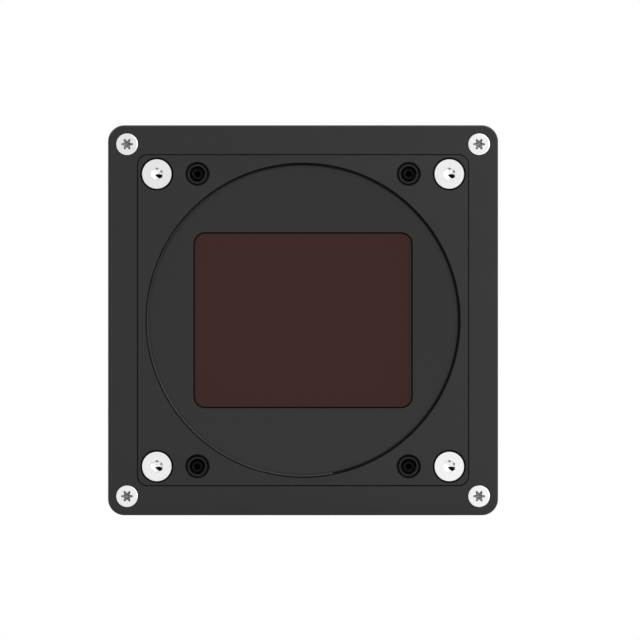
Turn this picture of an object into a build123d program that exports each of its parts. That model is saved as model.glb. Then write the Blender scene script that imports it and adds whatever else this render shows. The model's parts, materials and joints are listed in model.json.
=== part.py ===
import os

from build123d import *

# Square machine vision camera with a threaded lens plate, a glass sensor window and a finned housing.
# X runs to the right as the lens side is faced, Y from the front face to the rear, Z up. Millimetres.
# The origin is the centre of the lens flange, on the front face.

# Body
frame_rim = 5.5
body_corner_radius = 3.0
frame_depth = 16.0
housing_depth = 34.0
cover_thickness = 4.0
edge_break = 0.2

# Lens plate and its pocket
plate_rim = 1.5
plate_corner_radius = 1.75
plate_thickness = 6.0
plate_clearance = 0.15
plate_edge_break = 0.15
lens_thread_diameter = 58.0
lens_thread_pitch = 0.75
lens_thread_chamfer = 0.5

# Tapped holes for a lens adapter, each beside a screw of the lens plate
adapter_hole_offset = 7.5
adapter_hole_radius = 1.25
adapter_counterbore_radius = 2.0
adapter_counterbore_depth = 0.8

# Countersunk screws that hold the lens plate, each in a counterbored seat
mount_screw_inset = 3.5
mount_screw_radius = 1.5
mount_screw_length = 10.0
mount_head_radius = 2.75
mount_head_rim = 0.12
mount_head_setback = 0.2
mount_socket_width = 2.0
mount_socket_depth = 1.1
mount_counterbore_radius = 3.05
mount_counterbore_depth = 0.9
mount_hole_radius = 1.7

# Pan head screws at the four corners, front and rear
corner_screw_inset = 3.5
corner_screw_radius = 1.0
corner_head_radius = 2.0
corner_head_height = 1.6
corner_head_chamfer = 0.1
corner_head_setback = 0.1
corner_counterbore_radius = 2.12
corner_hole_radius = 1.15
corner_thread_depth = 6.0
lobe_core_radius = 0.76
lobe_reach = 0.95
lobe_width = 0.42
lobe_depth = 0.7
screw_clearance = 0.02
hole_run_out = 0.5
shank_sides = 8

# Window in the floor of the lens opening
floor_thickness = 2.0
window_margin = 1.25
window_corner_radius = 2.15
glass_overlap = 1.75
glass_corner_radius = 1.0
glass_thickness = 1.1
glass_clearance = 0.2
gasket_thickness = 0.5
gasket_wall = 1.5
gasket_stand_out = 0.2

# Image sensor
sensor_plane = 12.0
die_width = 38.0
die_height = 30.0
die_thickness = 0.7
package_wall_x = 2.0
package_wall_z = 2.5
package_floor = 1.3
package_corner_radius = 0.8
package_clearance = 0.3
package_cavity_margin = 2.0
cover_glass_margin = 2.0
cover_glass_thickness = 0.7
sensor_fit_clearance = 0.05

# Circuit boards
board_thickness = 1.6
sensor_recess_wall = 5.7
sensor_board_corner_radius = 1.7
sensor_board_clearance = 0.3
board_clearance = 0.3
board_hole_clearance = 0.15

# Cooling block behind the sensor
cooling_window_width = 24.0
cooling_window_height = 18.0
cooling_window_clearance = 1.0
sensor_pad_thickness = 0.5
spreader_gap = 2.4
spreader_thickness = 3.0
spreader_clearance = 0.15
link_slot_clearance = 0.5

# Housing
housing_wall = 7.5
cavity_corner_radius = 8.0
fin_slot_count = 7
fin_slot_pitch = 4.0
fin_slot_width = 2.0
fin_end_margin = 11.0
fin_slot_depth = 2.6

# Tapped mounting holes
side_hole_radius = 1.65
side_hole_spacing = 40.0
side_hole_depth = 5.5
bottom_hole_radius = 1.25
bottom_hole_spacing_x = 40.0
bottom_hole_spacing_y = 20.0
bottom_hole_depth = 5.5

# Inner screws and standoffs. Hidden shanks, studs and bores have a few flat sides, shank_sides of them
sensor_screw_inset_x = 10.0
sensor_screw_inset_z = 4.0
sensor_screw_radius = 0.8
sensor_screw_length = 5.0
sensor_screw_head_radius = 1.6
sensor_screw_head_height = 1.2
spreader_screw_inset = 2.8
stack_screw_radius = 1.25
stack_screw_grip = 5.0
stack_head_radius = 2.1
stack_head_height = 1.4
stack_socket_width = 1.5
stack_socket_depth = 0.8
standoff_inset = 6.0
standoff_width = 4.5
standoff_bore_depth = 2.2
standoff_thread_engagement = 1.8

# Chips and links
processor_pad_thickness = 1.0
processor_width = 27.0
processor_thickness = 2.2
memory_width = 10.0
memory_height = 14.0
memory_thickness = 1.1
memory_spacing = 18.0
power_board_gap = 8.0
link_width = 30.0
link_height = 5.0
link_inset = 5.2
link_plug_wall = 1.0
inductor_width = 10.0
inductor_thickness = 5.0
inductor_offset_z = -9.0
capacitor_radius = 3.15
capacitor_length = 5.8
capacitor_spacing = 24.0
capacitor_offset_z = 9.0

# Rear cover and its connectors
recess_margin_x = 6.0
recess_margin_z = 14.0
recess_corner_radius = 4.0
recess_depth = 0.8
connector_gap = 3.0
jack_count = 4
jack_spacing = 14.0
jack_row_z = 9.5
jack_base_width = 7.0
jack_base_thickness = 2.4
jack_body_radius = 3.4
jack_body_stand_out = 1.2
jack_barrel_radius = 2.5
jack_length = 8.6
jack_bore_radius = 1.85
jack_mouth_chamfer = 0.3
jack_insulator_stand_out = 1.5
jack_pin_radius = 0.35
jack_pin_set_back = 2.0
connector_hole_clearance = 0.15
socket_x = -14.0
socket_z = -10.5
socket_body_radius = 5.6
socket_bore_radius = 4.7
socket_length = 9.6
socket_flange_radius = 7.2
socket_flange_thickness = 1.4
socket_inner_end = 2.0
socket_insert_depth = 7.6
socket_mouth_chamfer = 0.3
socket_nut_width = 14.0
socket_nut_thickness = 1.4
socket_pin_radius = 0.4
socket_pin_sides = 8
socket_pin_length = 3.0
socket_outer_pins = 9
socket_outer_pin_circle = 3.3
socket_inner_pins = 3
socket_inner_pin_circle = 1.35
light_x = 14.0
light_z = -10.5
light_radius = 1.5
light_stand_out = 0.5
light_edge_break = 0.3
lamp_width = 1.6
lamp_height = 0.8
lamp_thickness = 0.6

# Values worked out from the dimensions above
plate_size = lens_thread_diameter + 2 * plate_rim
body_size = plate_size + 2 * frame_rim
half_body = body_size / 2
corner_screw_spacing = body_size - 2 * corner_screw_inset
mount_screw_spacing = plate_size - 2 * mount_screw_inset
adapter_spacing = mount_screw_spacing - 2 * adapter_hole_offset
thread_minor_radius = (lens_thread_diameter - 1.0825 * lens_thread_pitch) / 2
pocket_size = plate_size + 2 * plate_clearance
pocket_corner_radius = plate_corner_radius + plate_clearance
mount_seat_radius = mount_head_radius + mount_head_setback + mount_head_rim - mount_counterbore_depth
corner_counterbore_depth = corner_head_setback + corner_head_height
window_width = die_width + 2 * window_margin
window_height = die_height + 2 * window_margin
glass_width = window_width + 2 * glass_overlap
glass_height = window_height + 2 * glass_overlap
package_cavity_width = die_width + 2 * package_cavity_margin
package_cavity_height = die_height + 2 * package_cavity_margin
cover_glass_width = package_cavity_width + 2 * cover_glass_margin
cover_glass_height = package_cavity_height + 2 * cover_glass_margin
package_width = cover_glass_width + 2 * package_wall_x
package_height = cover_glass_height + 2 * package_wall_z
glass_front = plate_thickness + floor_thickness
gasket_front = glass_front + glass_thickness
package_front = gasket_front + gasket_thickness
die_rear = sensor_plane + die_thickness
package_rear = die_rear + package_floor
sensor_board_rear = package_rear + board_thickness
sensor_recess_size = body_size - 2 * sensor_recess_wall
sensor_board_size = sensor_recess_size - 2 * sensor_board_clearance
sensor_screw_spacing_x = sensor_board_size - 2 * sensor_screw_inset_x
sensor_screw_spacing_z = sensor_board_size - 2 * sensor_screw_inset_z
spreader_front = sensor_board_rear + spreader_gap
spreader_rear = spreader_front + spreader_thickness
spreader_size = sensor_recess_size - 2 * spreader_clearance
spreader_corner_radius = sensor_board_corner_radius + sensor_board_clearance - spreader_clearance
spreader_screw_spacing = sensor_recess_size - 2 * spreader_screw_inset
processor_board_front = spreader_rear + processor_pad_thickness + processor_thickness
processor_board_rear = processor_board_front + board_thickness
power_board_front = processor_board_rear + power_board_gap
power_board_rear = power_board_front + board_thickness
housing_rear = frame_depth + housing_depth
interface_board_rear = housing_rear - connector_gap
interface_board_front = interface_board_rear - board_thickness
cover_rear = housing_rear + cover_thickness
recess_width = body_size - 2 * recess_margin_x
recess_height = body_size - 2 * recess_margin_z
recess_face = cover_rear - recess_depth
cavity_size = body_size - 2 * housing_wall
fin_slot_length = body_size - 2 * fin_end_margin
stack_board_size = cavity_size - 2 * board_clearance
standoff_spacing = cavity_size - 2 * standoff_inset
link_offset = stack_board_size / 2 - link_inset
stack_board_corner_radius = cavity_corner_radius - board_clearance
stack_hole_radius = stack_screw_radius + screw_clearance


def depth_plane(depth):
    """A plane across the camera at this depth. Its normal points out of the lens side."""
    return Plane.XZ.offset(-depth)


def side_plane(direction):
    """A plane on one long side of the body. Local X is the depth from the front face."""
    return Plane(origin=Vector(direction) * half_body, x_dir=(0, 1, 0), z_dir=direction)


def axial_plane(x, z):
    """A plane through a connector's axis. Local X is the radius and local Y the depth."""
    return Plane(origin=(x, 0, z), x_dir=(1, 0, 0), z_dir=(0, 0, 1))


right_side = side_plane((1, 0, 0))
left_side = side_plane((-1, 0, 0))
top_side = side_plane((0, 0, 1))
bottom_side = side_plane((0, 0, -1))

os.makedirs("parts", exist_ok=True)

# Front frame: a machined block with the plate pocket, the window floor and the sensor cavity
with BuildPart(depth_plane(0)) as front_frame:
    with BuildSketch(depth_plane(0)):
        RectangleRounded(body_size, body_size, body_corner_radius)
    extrude(amount=-frame_depth)
    chamfer(front_frame.faces().sort_by(Axis.Y)[0].edges(), edge_break)
    with BuildSketch(depth_plane(0)):
        RectangleRounded(pocket_size, pocket_size, pocket_corner_radius)
    extrude(amount=-plate_thickness, mode=Mode.SUBTRACT)
    with BuildSketch(depth_plane(plate_thickness)):
        RectangleRounded(window_width, window_height, window_corner_radius)
    extrude(amount=-floor_thickness, mode=Mode.SUBTRACT)
    with BuildSketch(depth_plane(glass_front)):
        RectangleRounded(
            glass_width + 2 * glass_clearance,
            glass_height + 2 * glass_clearance,
            glass_corner_radius + glass_clearance,
        )
    extrude(amount=-(package_front - gasket_stand_out - glass_front), mode=Mode.SUBTRACT)
    with BuildSketch(depth_plane(package_rear)):
        RectangleRounded(
            package_width + 2 * package_clearance,
            package_height + 2 * package_clearance,
            package_corner_radius + package_clearance,
        )
    extrude(amount=package_rear - package_front + gasket_stand_out, mode=Mode.SUBTRACT)
    with BuildSketch(depth_plane(frame_depth)):
        RectangleRounded(
            sensor_recess_size,
            sensor_recess_size,
            sensor_board_corner_radius + sensor_board_clearance,
        )
    extrude(amount=frame_depth - package_rear, mode=Mode.SUBTRACT)
    with GridLocations(corner_screw_spacing, corner_screw_spacing, 2, 2):
        CounterBoreHole(corner_hole_radius, corner_counterbore_radius, corner_counterbore_depth, frame_depth)
    with BuildSketch(depth_plane(plate_thickness)):
        with GridLocations(mount_screw_spacing, mount_screw_spacing, 2, 2):
            Circle(mount_screw_radius + screw_clearance)
    extrude(
        amount=-(mount_head_setback + mount_screw_length + hole_run_out - plate_thickness),
        mode=Mode.SUBTRACT,
    )
    with BuildSketch(depth_plane(package_rear)):
        with GridLocations(sensor_screw_spacing_x, sensor_screw_spacing_z, 2, 2):
            Circle(sensor_screw_radius + screw_clearance)
    extrude(
        amount=sensor_screw_length - board_thickness + hole_run_out,
        mode=Mode.SUBTRACT,
    )
    with BuildSketch(right_side, left_side, top_side, bottom_side):
        with Locations(((plate_thickness + package_rear) / 2, 0)):
            with GridLocations(1, side_hole_spacing, 1, 2):
                Circle(side_hole_radius)
    extrude(amount=-side_hole_depth, mode=Mode.SUBTRACT)
front_frame.part.label = "front_frame"
export_step(front_frame.part, "parts/front_frame.step")

# Lens plate: a square plate bored and threaded for the lens
with BuildPart(depth_plane(0)) as lens_mount_plate:
    with BuildSketch(depth_plane(0)):
        RectangleRounded(plate_size, plate_size, plate_corner_radius)
    extrude(amount=-plate_thickness)
    chamfer(lens_mount_plate.faces().sort_by(Axis.Y)[0].edges(), plate_edge_break)
    Hole(thread_minor_radius, plate_thickness)
    mouth = lens_mount_plate.edges().filter_by(GeomType.CIRCLE).sort_by(SortBy.RADIUS)[-2:]
    chamfer(mouth.sort_by(Axis.Y)[0], lens_thread_chamfer)
    with GridLocations(mount_screw_spacing, mount_screw_spacing, 2, 2):
        CounterBoreHole(mount_hole_radius, mount_counterbore_radius, mount_counterbore_depth, plate_thickness)
    with Locations((0, 0, -mount_counterbore_depth)):
        with GridLocations(mount_screw_spacing, mount_screw_spacing, 2, 2):
            CounterSinkHole(
                mount_hole_radius,
                mount_seat_radius + screw_clearance,
                plate_thickness - mount_counterbore_depth,
                90,
            )
    with GridLocations(adapter_spacing, mount_screw_spacing, 2, 2):
        CounterBoreHole(
            adapter_hole_radius,
            adapter_counterbore_radius,
            adapter_counterbore_depth,
            plate_thickness,
        )
lens_mount_plate.part.label = "lens_mount_plate"
export_step(lens_mount_plate.part, "parts/lens_mount_plate.step")

# Countersunk hexagon socket screws of the lens plate
with BuildPart(depth_plane(mount_head_setback)) as mount_screws:
    with GridLocations(mount_screw_spacing, mount_screw_spacing, 2, 2):
        Cylinder(
            mount_head_radius,
            mount_head_rim,
            align=(Align.CENTER, Align.CENTER, Align.MAX),
        )
    with Locations((0, 0, -mount_head_rim)):
        with GridLocations(mount_screw_spacing, mount_screw_spacing, 2, 2):
            Cone(
                mount_screw_radius,
                mount_head_radius,
                mount_head_radius - mount_screw_radius,
                align=(Align.CENTER, Align.CENTER, Align.MAX),
            )
    with BuildSketch(depth_plane(mount_head_setback)):
        with GridLocations(mount_screw_spacing, mount_screw_spacing, 2, 2):
            RegularPolygon(mount_screw_radius, shank_sides)
    extrude(amount=-mount_screw_length)
    with BuildSketch(depth_plane(mount_head_setback)):
        with GridLocations(mount_screw_spacing, mount_screw_spacing, 2, 2):
            RegularPolygon(mount_socket_width / 2, 6, major_radius=False, rotation=30)
    extrude(amount=-mount_socket_depth, mode=Mode.SUBTRACT)
mount_screws.part.label = "mount_screws"
export_step(mount_screws.part, "parts/mount_screws.step")


def corner_screws(face_plane, grip):
    """Four pan head screws with six-lobe sockets, set in the counterbores of a face."""
    under_head = face_plane.offset(-corner_counterbore_depth)
    head_top = face_plane.offset(-corner_head_setback)
    with BuildPart(under_head) as screws:
        with BuildSketch(under_head):
            with GridLocations(corner_screw_spacing, corner_screw_spacing, 2, 2):
                Circle(corner_head_radius)
        extrude(amount=corner_head_height)
        head_faces = screws.faces().filter_by(GeomType.PLANE)
        head_tops = head_faces.sort_by(Axis(under_head.origin, under_head.z_dir))[-4:]
        chamfer(head_tops.edges(), corner_head_chamfer)
        with BuildSketch(under_head):
            with GridLocations(corner_screw_spacing, corner_screw_spacing, 2, 2):
                RegularPolygon(corner_screw_radius, shank_sides)
        extrude(amount=-(grip - corner_counterbore_depth + corner_thread_depth))
        with BuildSketch(head_top):
            with GridLocations(corner_screw_spacing, corner_screw_spacing, 2, 2):
                RegularPolygon(lobe_core_radius, 6, rotation=30)
                with PolarLocations(0, 3, 0, 180):
                    Rectangle(2 * lobe_reach, lobe_width)
        extrude(amount=-lobe_depth, mode=Mode.SUBTRACT)
    return screws


front_screws = corner_screws(depth_plane(0), frame_depth)
front_screws.part.label = "front_screws"
export_step(front_screws.part, "parts/front_screws.step")

rear_screws = corner_screws(
    Plane(origin=(0, cover_rear, 0), x_dir=(-1, 0, 0), z_dir=(0, 1, 0)),
    cover_thickness,
)
rear_screws.part.label = "rear_screws"
export_step(rear_screws.part, "parts/rear_screws.step")

# Coated glass behind the window opening
with BuildPart() as window_glass:
    with BuildSketch(depth_plane(glass_front)):
        RectangleRounded(glass_width, glass_height, glass_corner_radius)
    extrude(amount=-glass_thickness)
window_glass.part.label = "window_glass"
export_step(window_glass.part, "parts/window_glass.step")

# Soft frame that keeps dust out between the glass and the sensor
with BuildPart() as window_gasket:
    with BuildSketch(depth_plane(gasket_front)):
        RectangleRounded(glass_width, glass_height, glass_corner_radius)
        Rectangle(
            glass_width - 2 * gasket_wall,
            glass_height - 2 * gasket_wall,
            mode=Mode.SUBTRACT,
        )
    extrude(amount=-gasket_thickness)
window_gasket.part.label = "window_gasket"
export_step(window_gasket.part, "parts/window_gasket.step")

# Ceramic package of the image sensor, with a ledge for its cover glass
with BuildPart() as sensor_package:
    with BuildSketch(depth_plane(package_front)):
        RectangleRounded(package_width, package_height, package_corner_radius)
    extrude(amount=-(package_rear - package_front))
    with BuildSketch(depth_plane(package_front)):
        Rectangle(
            cover_glass_width + 2 * sensor_fit_clearance,
            cover_glass_height + 2 * sensor_fit_clearance,
        )
    extrude(amount=-cover_glass_thickness, mode=Mode.SUBTRACT)
    with BuildSketch(depth_plane(die_rear)):
        Rectangle(package_cavity_width, package_cavity_height)
    extrude(amount=die_rear - package_front - cover_glass_thickness, mode=Mode.SUBTRACT)
sensor_package.part.label = "sensor_package"
export_step(sensor_package.part, "parts/sensor_package.step")

with BuildPart() as sensor_cover_glass:
    with BuildSketch(depth_plane(package_front)):
        Rectangle(cover_glass_width, cover_glass_height)
    extrude(amount=-cover_glass_thickness)
sensor_cover_glass.part.label = "sensor_cover_glass"
export_step(sensor_cover_glass.part, "parts/sensor_cover_glass.step")

with BuildPart() as sensor_die:
    with BuildSketch(depth_plane(sensor_plane)):
        Rectangle(die_width, die_height)
    extrude(amount=-die_thickness)
sensor_die.part.label = "sensor_die"
export_step(sensor_die.part, "parts/sensor_die.step")

# Board that carries the sensor, cut open behind it for the cooling block
with BuildPart() as sensor_board:
    with BuildSketch(depth_plane(package_rear)):
        RectangleRounded(sensor_board_size, sensor_board_size, sensor_board_corner_radius)
        Rectangle(
            cooling_window_width + 2 * cooling_window_clearance,
            cooling_window_height + 2 * cooling_window_clearance,
            mode=Mode.SUBTRACT,
        )
        with GridLocations(sensor_screw_spacing_x, sensor_screw_spacing_z, 2, 2):
            Circle(sensor_screw_radius + board_hole_clearance, mode=Mode.SUBTRACT)
    extrude(amount=-board_thickness)
sensor_board.part.label = "sensor_board"
export_step(sensor_board.part, "parts/sensor_board.step")


def round_head_screws(face_depth, spacing_x, spacing_z, radius, length, head_radius, head_height):
    """Four plain screws whose heads stand on the rear of a board."""
    with BuildPart(depth_plane(face_depth)) as screws:
        with BuildSketch(depth_plane(face_depth)):
            with GridLocations(spacing_x, spacing_z, 2, 2):
                Circle(head_radius)
        extrude(amount=-head_height)
        with BuildSketch(depth_plane(face_depth)):
            with GridLocations(spacing_x, spacing_z, 2, 2):
                RegularPolygon(radius, shank_sides)
        extrude(amount=length)
        with BuildSketch(depth_plane(face_depth + head_height)):
            with GridLocations(spacing_x, spacing_z, 2, 2):
                RegularPolygon(stack_socket_width / 2, 6, major_radius=False)
        extrude(amount=stack_socket_depth, mode=Mode.SUBTRACT)
    return screws


sensor_board_screws = round_head_screws(
    sensor_board_rear,
    sensor_screw_spacing_x,
    sensor_screw_spacing_z,
    sensor_screw_radius,
    sensor_screw_length,
    sensor_screw_head_radius,
    sensor_screw_head_height,
)
sensor_board_screws.part.label = "sensor_board_screws"
export_step(sensor_board_screws.part, "parts/sensor_board_screws.step")

# Soft pad between the package and the cooling block
with BuildPart() as sensor_thermal_pad:
    with BuildSketch(depth_plane(package_rear)):
        Rectangle(cooling_window_width, cooling_window_height)
    extrude(amount=-sensor_pad_thickness)
sensor_thermal_pad.part.label = "sensor_thermal_pad"
export_step(sensor_thermal_pad.part, "parts/sensor_thermal_pad.step")

# Cooling block: a plate on the housing's step, with a boss that reaches through the sensor board
with BuildPart(depth_plane(spreader_front)) as heat_spreader:
    with BuildSketch(depth_plane(spreader_front)):
        RectangleRounded(spreader_size, spreader_size, spreader_corner_radius)
    extrude(amount=-spreader_thickness)
    with BuildSketch(depth_plane(spreader_front)):
        Rectangle(cooling_window_width, cooling_window_height)
    extrude(amount=spreader_front - package_rear - sensor_pad_thickness)
    with BuildSketch(depth_plane(spreader_front)):
        with GridLocations(1, 2 * link_offset, 1, 2):
            Rectangle(link_width + 2 * link_slot_clearance, link_height + 2 * link_slot_clearance)
    extrude(amount=-spreader_thickness, mode=Mode.SUBTRACT)
    with GridLocations(spreader_screw_spacing, spreader_screw_spacing, 2, 2):
        Hole(stack_screw_radius + board_hole_clearance, spreader_thickness)
    with GridLocations(standoff_spacing, standoff_spacing, 2, 2):
        Hole(stack_hole_radius, spreader_thickness)
heat_spreader.part.label = "heat_spreader"
export_step(heat_spreader.part, "parts/heat_spreader.step")

with BuildPart(depth_plane(spreader_front)) as spreader_screws:
    with BuildSketch(depth_plane(spreader_front)):
        with GridLocations(spreader_screw_spacing, spreader_screw_spacing, 2, 2):
            Circle(stack_head_radius)
    extrude(amount=stack_head_height)
    with BuildSketch(depth_plane(spreader_front)):
        with GridLocations(spreader_screw_spacing, spreader_screw_spacing, 2, 2):
            RegularPolygon(stack_screw_radius, shank_sides)
    extrude(amount=-(spreader_thickness + stack_screw_grip))
    with BuildSketch(depth_plane(spreader_front - stack_head_height)):
        with GridLocations(spreader_screw_spacing, spreader_screw_spacing, 2, 2):
            RegularPolygon(stack_socket_width / 2, 6, major_radius=False)
    extrude(amount=-stack_socket_depth, mode=Mode.SUBTRACT)
spreader_screws.part.label = "spreader_screws"
export_step(spreader_screws.part, "parts/spreader_screws.step")


def flat_piece(width, height, front, thickness, x=0.0, z=0.0):
    """A flat rectangular piece, such as a chip or a pad, with its front at this depth."""
    with BuildPart() as piece:
        with BuildSketch(depth_plane(front)):
            with Locations((x, z)):
                Rectangle(width, height)
        extrude(amount=-thickness)
    return piece


processor_thermal_pad = flat_piece(processor_width, processor_width, spreader_rear, processor_pad_thickness)
processor_thermal_pad.part.label = "processor_thermal_pad"
export_step(processor_thermal_pad.part, "parts/processor_thermal_pad.step")

processor_chip = flat_piece(
    processor_width,
    processor_width,
    spreader_rear + processor_pad_thickness,
    processor_thickness,
)
processor_chip.part.label = "processor_chip"
export_step(processor_chip.part, "parts/processor_chip.step")


def stack_board(front):
    """One of the three boards that hang on the standoffs."""
    with BuildPart() as board:
        with BuildSketch(depth_plane(front)):
            RectangleRounded(stack_board_size, stack_board_size, stack_board_corner_radius)
            with GridLocations(standoff_spacing, standoff_spacing, 2, 2):
                Circle(stack_screw_radius + board_hole_clearance, mode=Mode.SUBTRACT)
        extrude(amount=-board_thickness)
    return board


processor_board = stack_board(processor_board_front)
processor_board.part.label = "processor_board"
export_step(processor_board.part, "parts/processor_board.step")

power_board = stack_board(power_board_front)
power_board.part.label = "power_board"
export_step(power_board.part, "parts/power_board.step")

interface_board = stack_board(interface_board_front)
interface_board.part.label = "interface_board"
export_step(interface_board.part, "parts/interface_board.step")

for number, side in ((1, -1), (2, 1)):
    memory_chip = flat_piece(
        memory_width,
        memory_height,
        processor_board_rear,
        memory_thickness,
        side * memory_spacing / 2,
    )
    memory_chip.part.label = f"memory_chip_{number}"
    export_step(memory_chip.part, f"parts/memory_chip_{number}.step")

# Board links: a header on one board and the socket on the next, mated halfway between them
link_runs = {
    "sensor_link_upper": (sensor_board_rear, processor_board_front, link_offset),
    "sensor_link_lower": (sensor_board_rear, processor_board_front, -link_offset),
    "power_link": (processor_board_rear, power_board_front, -link_offset),
    "interface_link": (power_board_rear, interface_board_front, link_offset),
}
for name, (front, rear, offset_z) in link_runs.items():
    middle = (front + rear) / 2
    tongue = link_plug_wall
    with BuildPart() as header:
        with BuildSketch(depth_plane(front)):
            with Locations((0, offset_z)):
                Rectangle(link_width, link_height)
        extrude(amount=-(middle - front))
        with BuildSketch(depth_plane(middle)):
            with Locations((0, offset_z)):
                Rectangle(link_width - 2 * link_plug_wall, link_height - 2 * link_plug_wall)
        extrude(amount=-tongue)
    header.part.label = f"{name}_header"
    export_step(header.part, f"parts/{name}_header.step")
    with BuildPart() as socket:
        with BuildSketch(depth_plane(middle)):
            with Locations((0, offset_z)):
                Rectangle(link_width, link_height)
        extrude(amount=-(rear - middle))
        with BuildSketch(depth_plane(middle)):
            with Locations((0, offset_z)):
                Rectangle(
                    link_width - 2 * link_plug_wall + 2 * sensor_fit_clearance,
                    link_height - 2 * link_plug_wall + 2 * sensor_fit_clearance,
                )
        extrude(amount=-tongue, mode=Mode.SUBTRACT)
    socket.part.label = f"{name}_socket"
    export_step(socket.part, f"parts/{name}_socket.step")

power_inductor = flat_piece(
    inductor_width,
    inductor_width,
    power_board_rear,
    inductor_thickness,
    0.0,
    inductor_offset_z,
)
power_inductor.part.label = "power_inductor"
export_step(power_inductor.part, "parts/power_inductor.step")

for number, side in ((1, -1), (2, 1)):
    with BuildPart() as power_capacitor:
        with BuildSketch(depth_plane(power_board_rear)):
            with Locations((side * capacitor_spacing / 2, capacitor_offset_z)):
                Circle(capacitor_radius)
        extrude(amount=-capacitor_length)
    power_capacitor.part.label = f"power_capacitor_{number}"
    export_step(power_capacitor.part, f"parts/power_capacitor_{number}.step")

# Hexagon standoffs: each set screws into the one before it, through the board between them
standoff_runs = {
    "standoffs_front": (spreader_rear, processor_board_front, standoff_bore_depth),
    "standoffs_middle": (processor_board_rear, power_board_front, board_thickness + standoff_thread_engagement),
    "standoffs_rear": (power_board_rear, interface_board_front, board_thickness + standoff_thread_engagement),
}
for name, (front, rear, stud_length) in standoff_runs.items():
    with BuildPart(depth_plane(front)) as standoffs:
        with BuildSketch(depth_plane(front)):
            with GridLocations(standoff_spacing, standoff_spacing, 2, 2):
                RegularPolygon(standoff_width / 2, 6, major_radius=False)
        extrude(amount=-(rear - front))
        with BuildSketch(depth_plane(front)):
            with GridLocations(standoff_spacing, standoff_spacing, 2, 2):
                RegularPolygon(stack_screw_radius, shank_sides)
        extrude(amount=stud_length)
        with BuildSketch(depth_plane(rear)):
            with GridLocations(standoff_spacing, standoff_spacing, 2, 2):
                RegularPolygon(stack_hole_radius, shank_sides)
        extrude(amount=standoff_bore_depth, mode=Mode.SUBTRACT)
    standoffs.part.label = name
    export_step(standoffs.part, f"parts/{name}.step")

board_screws = round_head_screws(
    interface_board_rear,
    standoff_spacing,
    standoff_spacing,
    stack_screw_radius,
    board_thickness + standoff_thread_engagement,
    stack_head_radius,
    stack_head_height,
)
board_screws.part.label = "board_screws"
export_step(board_screws.part, "parts/board_screws.step")

# Housing: a square tube with cooling slots milled between its corner posts
fin_centre = frame_depth + housing_depth / 2
with BuildPart(depth_plane(frame_depth)) as housing:
    with BuildSketch(depth_plane(frame_depth)):
        RectangleRounded(body_size, body_size, body_corner_radius)
        RectangleRounded(cavity_size, cavity_size, cavity_corner_radius, mode=Mode.SUBTRACT)
    extrude(amount=-housing_depth)
    with BuildSketch(depth_plane(frame_depth)):
        RectangleRounded(
            sensor_recess_size,
            sensor_recess_size,
            sensor_board_corner_radius + sensor_board_clearance,
        )
    extrude(amount=-(spreader_rear - frame_depth), mode=Mode.SUBTRACT)
    with BuildSketch(right_side, left_side, top_side):
        with Locations((fin_centre, 0)):
            with GridLocations(fin_slot_pitch, 1, fin_slot_count, 1):
                SlotOverall(fin_slot_length, fin_slot_width, rotation=90)
    extrude(amount=-fin_slot_depth, mode=Mode.SUBTRACT)
    with BuildSketch(bottom_side):
        with Locations((fin_centre, 0)):
            with GridLocations(bottom_hole_spacing_y, bottom_hole_spacing_x, 2, 2):
                Circle(bottom_hole_radius)
    extrude(amount=-bottom_hole_depth, mode=Mode.SUBTRACT)
    with GridLocations(corner_screw_spacing, corner_screw_spacing, 2, 2):
        Hole(corner_screw_radius + screw_clearance, corner_thread_depth + hole_run_out)
    with BuildSketch(depth_plane(housing_rear)):
        with GridLocations(corner_screw_spacing, corner_screw_spacing, 2, 2):
            Circle(corner_screw_radius + screw_clearance)
    extrude(amount=corner_thread_depth + hole_run_out, mode=Mode.SUBTRACT)
    with BuildSketch(depth_plane(spreader_rear)):
        with GridLocations(spreader_screw_spacing, spreader_screw_spacing, 2, 2):
            Circle(stack_hole_radius)
    extrude(amount=-(stack_screw_grip + hole_run_out), mode=Mode.SUBTRACT)
housing.part.label = "housing"
export_step(housing.part, "parts/housing.step")

# Rear cover: a plate with a shallow recess for the connector field
jack_places = [(jack_spacing * (i - (jack_count - 1) / 2), jack_row_z) for i in range(jack_count)]
with BuildPart() as rear_cover:
    with BuildSketch(depth_plane(housing_rear)):
        RectangleRounded(body_size, body_size, body_corner_radius)
    extrude(amount=-cover_thickness)
    chamfer(rear_cover.faces().sort_by(Axis.Y)[-1].edges(), edge_break)
    with BuildSketch(depth_plane(cover_rear)):
        RectangleRounded(recess_width, recess_height, recess_corner_radius)
    extrude(amount=recess_depth, mode=Mode.SUBTRACT)
    with BuildSketch(depth_plane(cover_rear)):
        with Locations(*jack_places):
            Circle(jack_body_radius + connector_hole_clearance)
        with Locations((socket_x, socket_z)):
            Circle(socket_body_radius + connector_hole_clearance)
        with Locations((light_x, light_z)):
            Circle(light_radius + screw_clearance)
        with GridLocations(corner_screw_spacing, corner_screw_spacing, 2, 2):
            Circle(corner_hole_radius)
    extrude(amount=cover_thickness, mode=Mode.SUBTRACT)
    with BuildSketch(depth_plane(cover_rear)):
        with GridLocations(corner_screw_spacing, corner_screw_spacing, 2, 2):
            Circle(corner_counterbore_radius)
    extrude(amount=corner_counterbore_depth, mode=Mode.SUBTRACT)
rear_cover.part.label = "rear_cover"
export_step(rear_cover.part, "parts/rear_cover.step")

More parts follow.
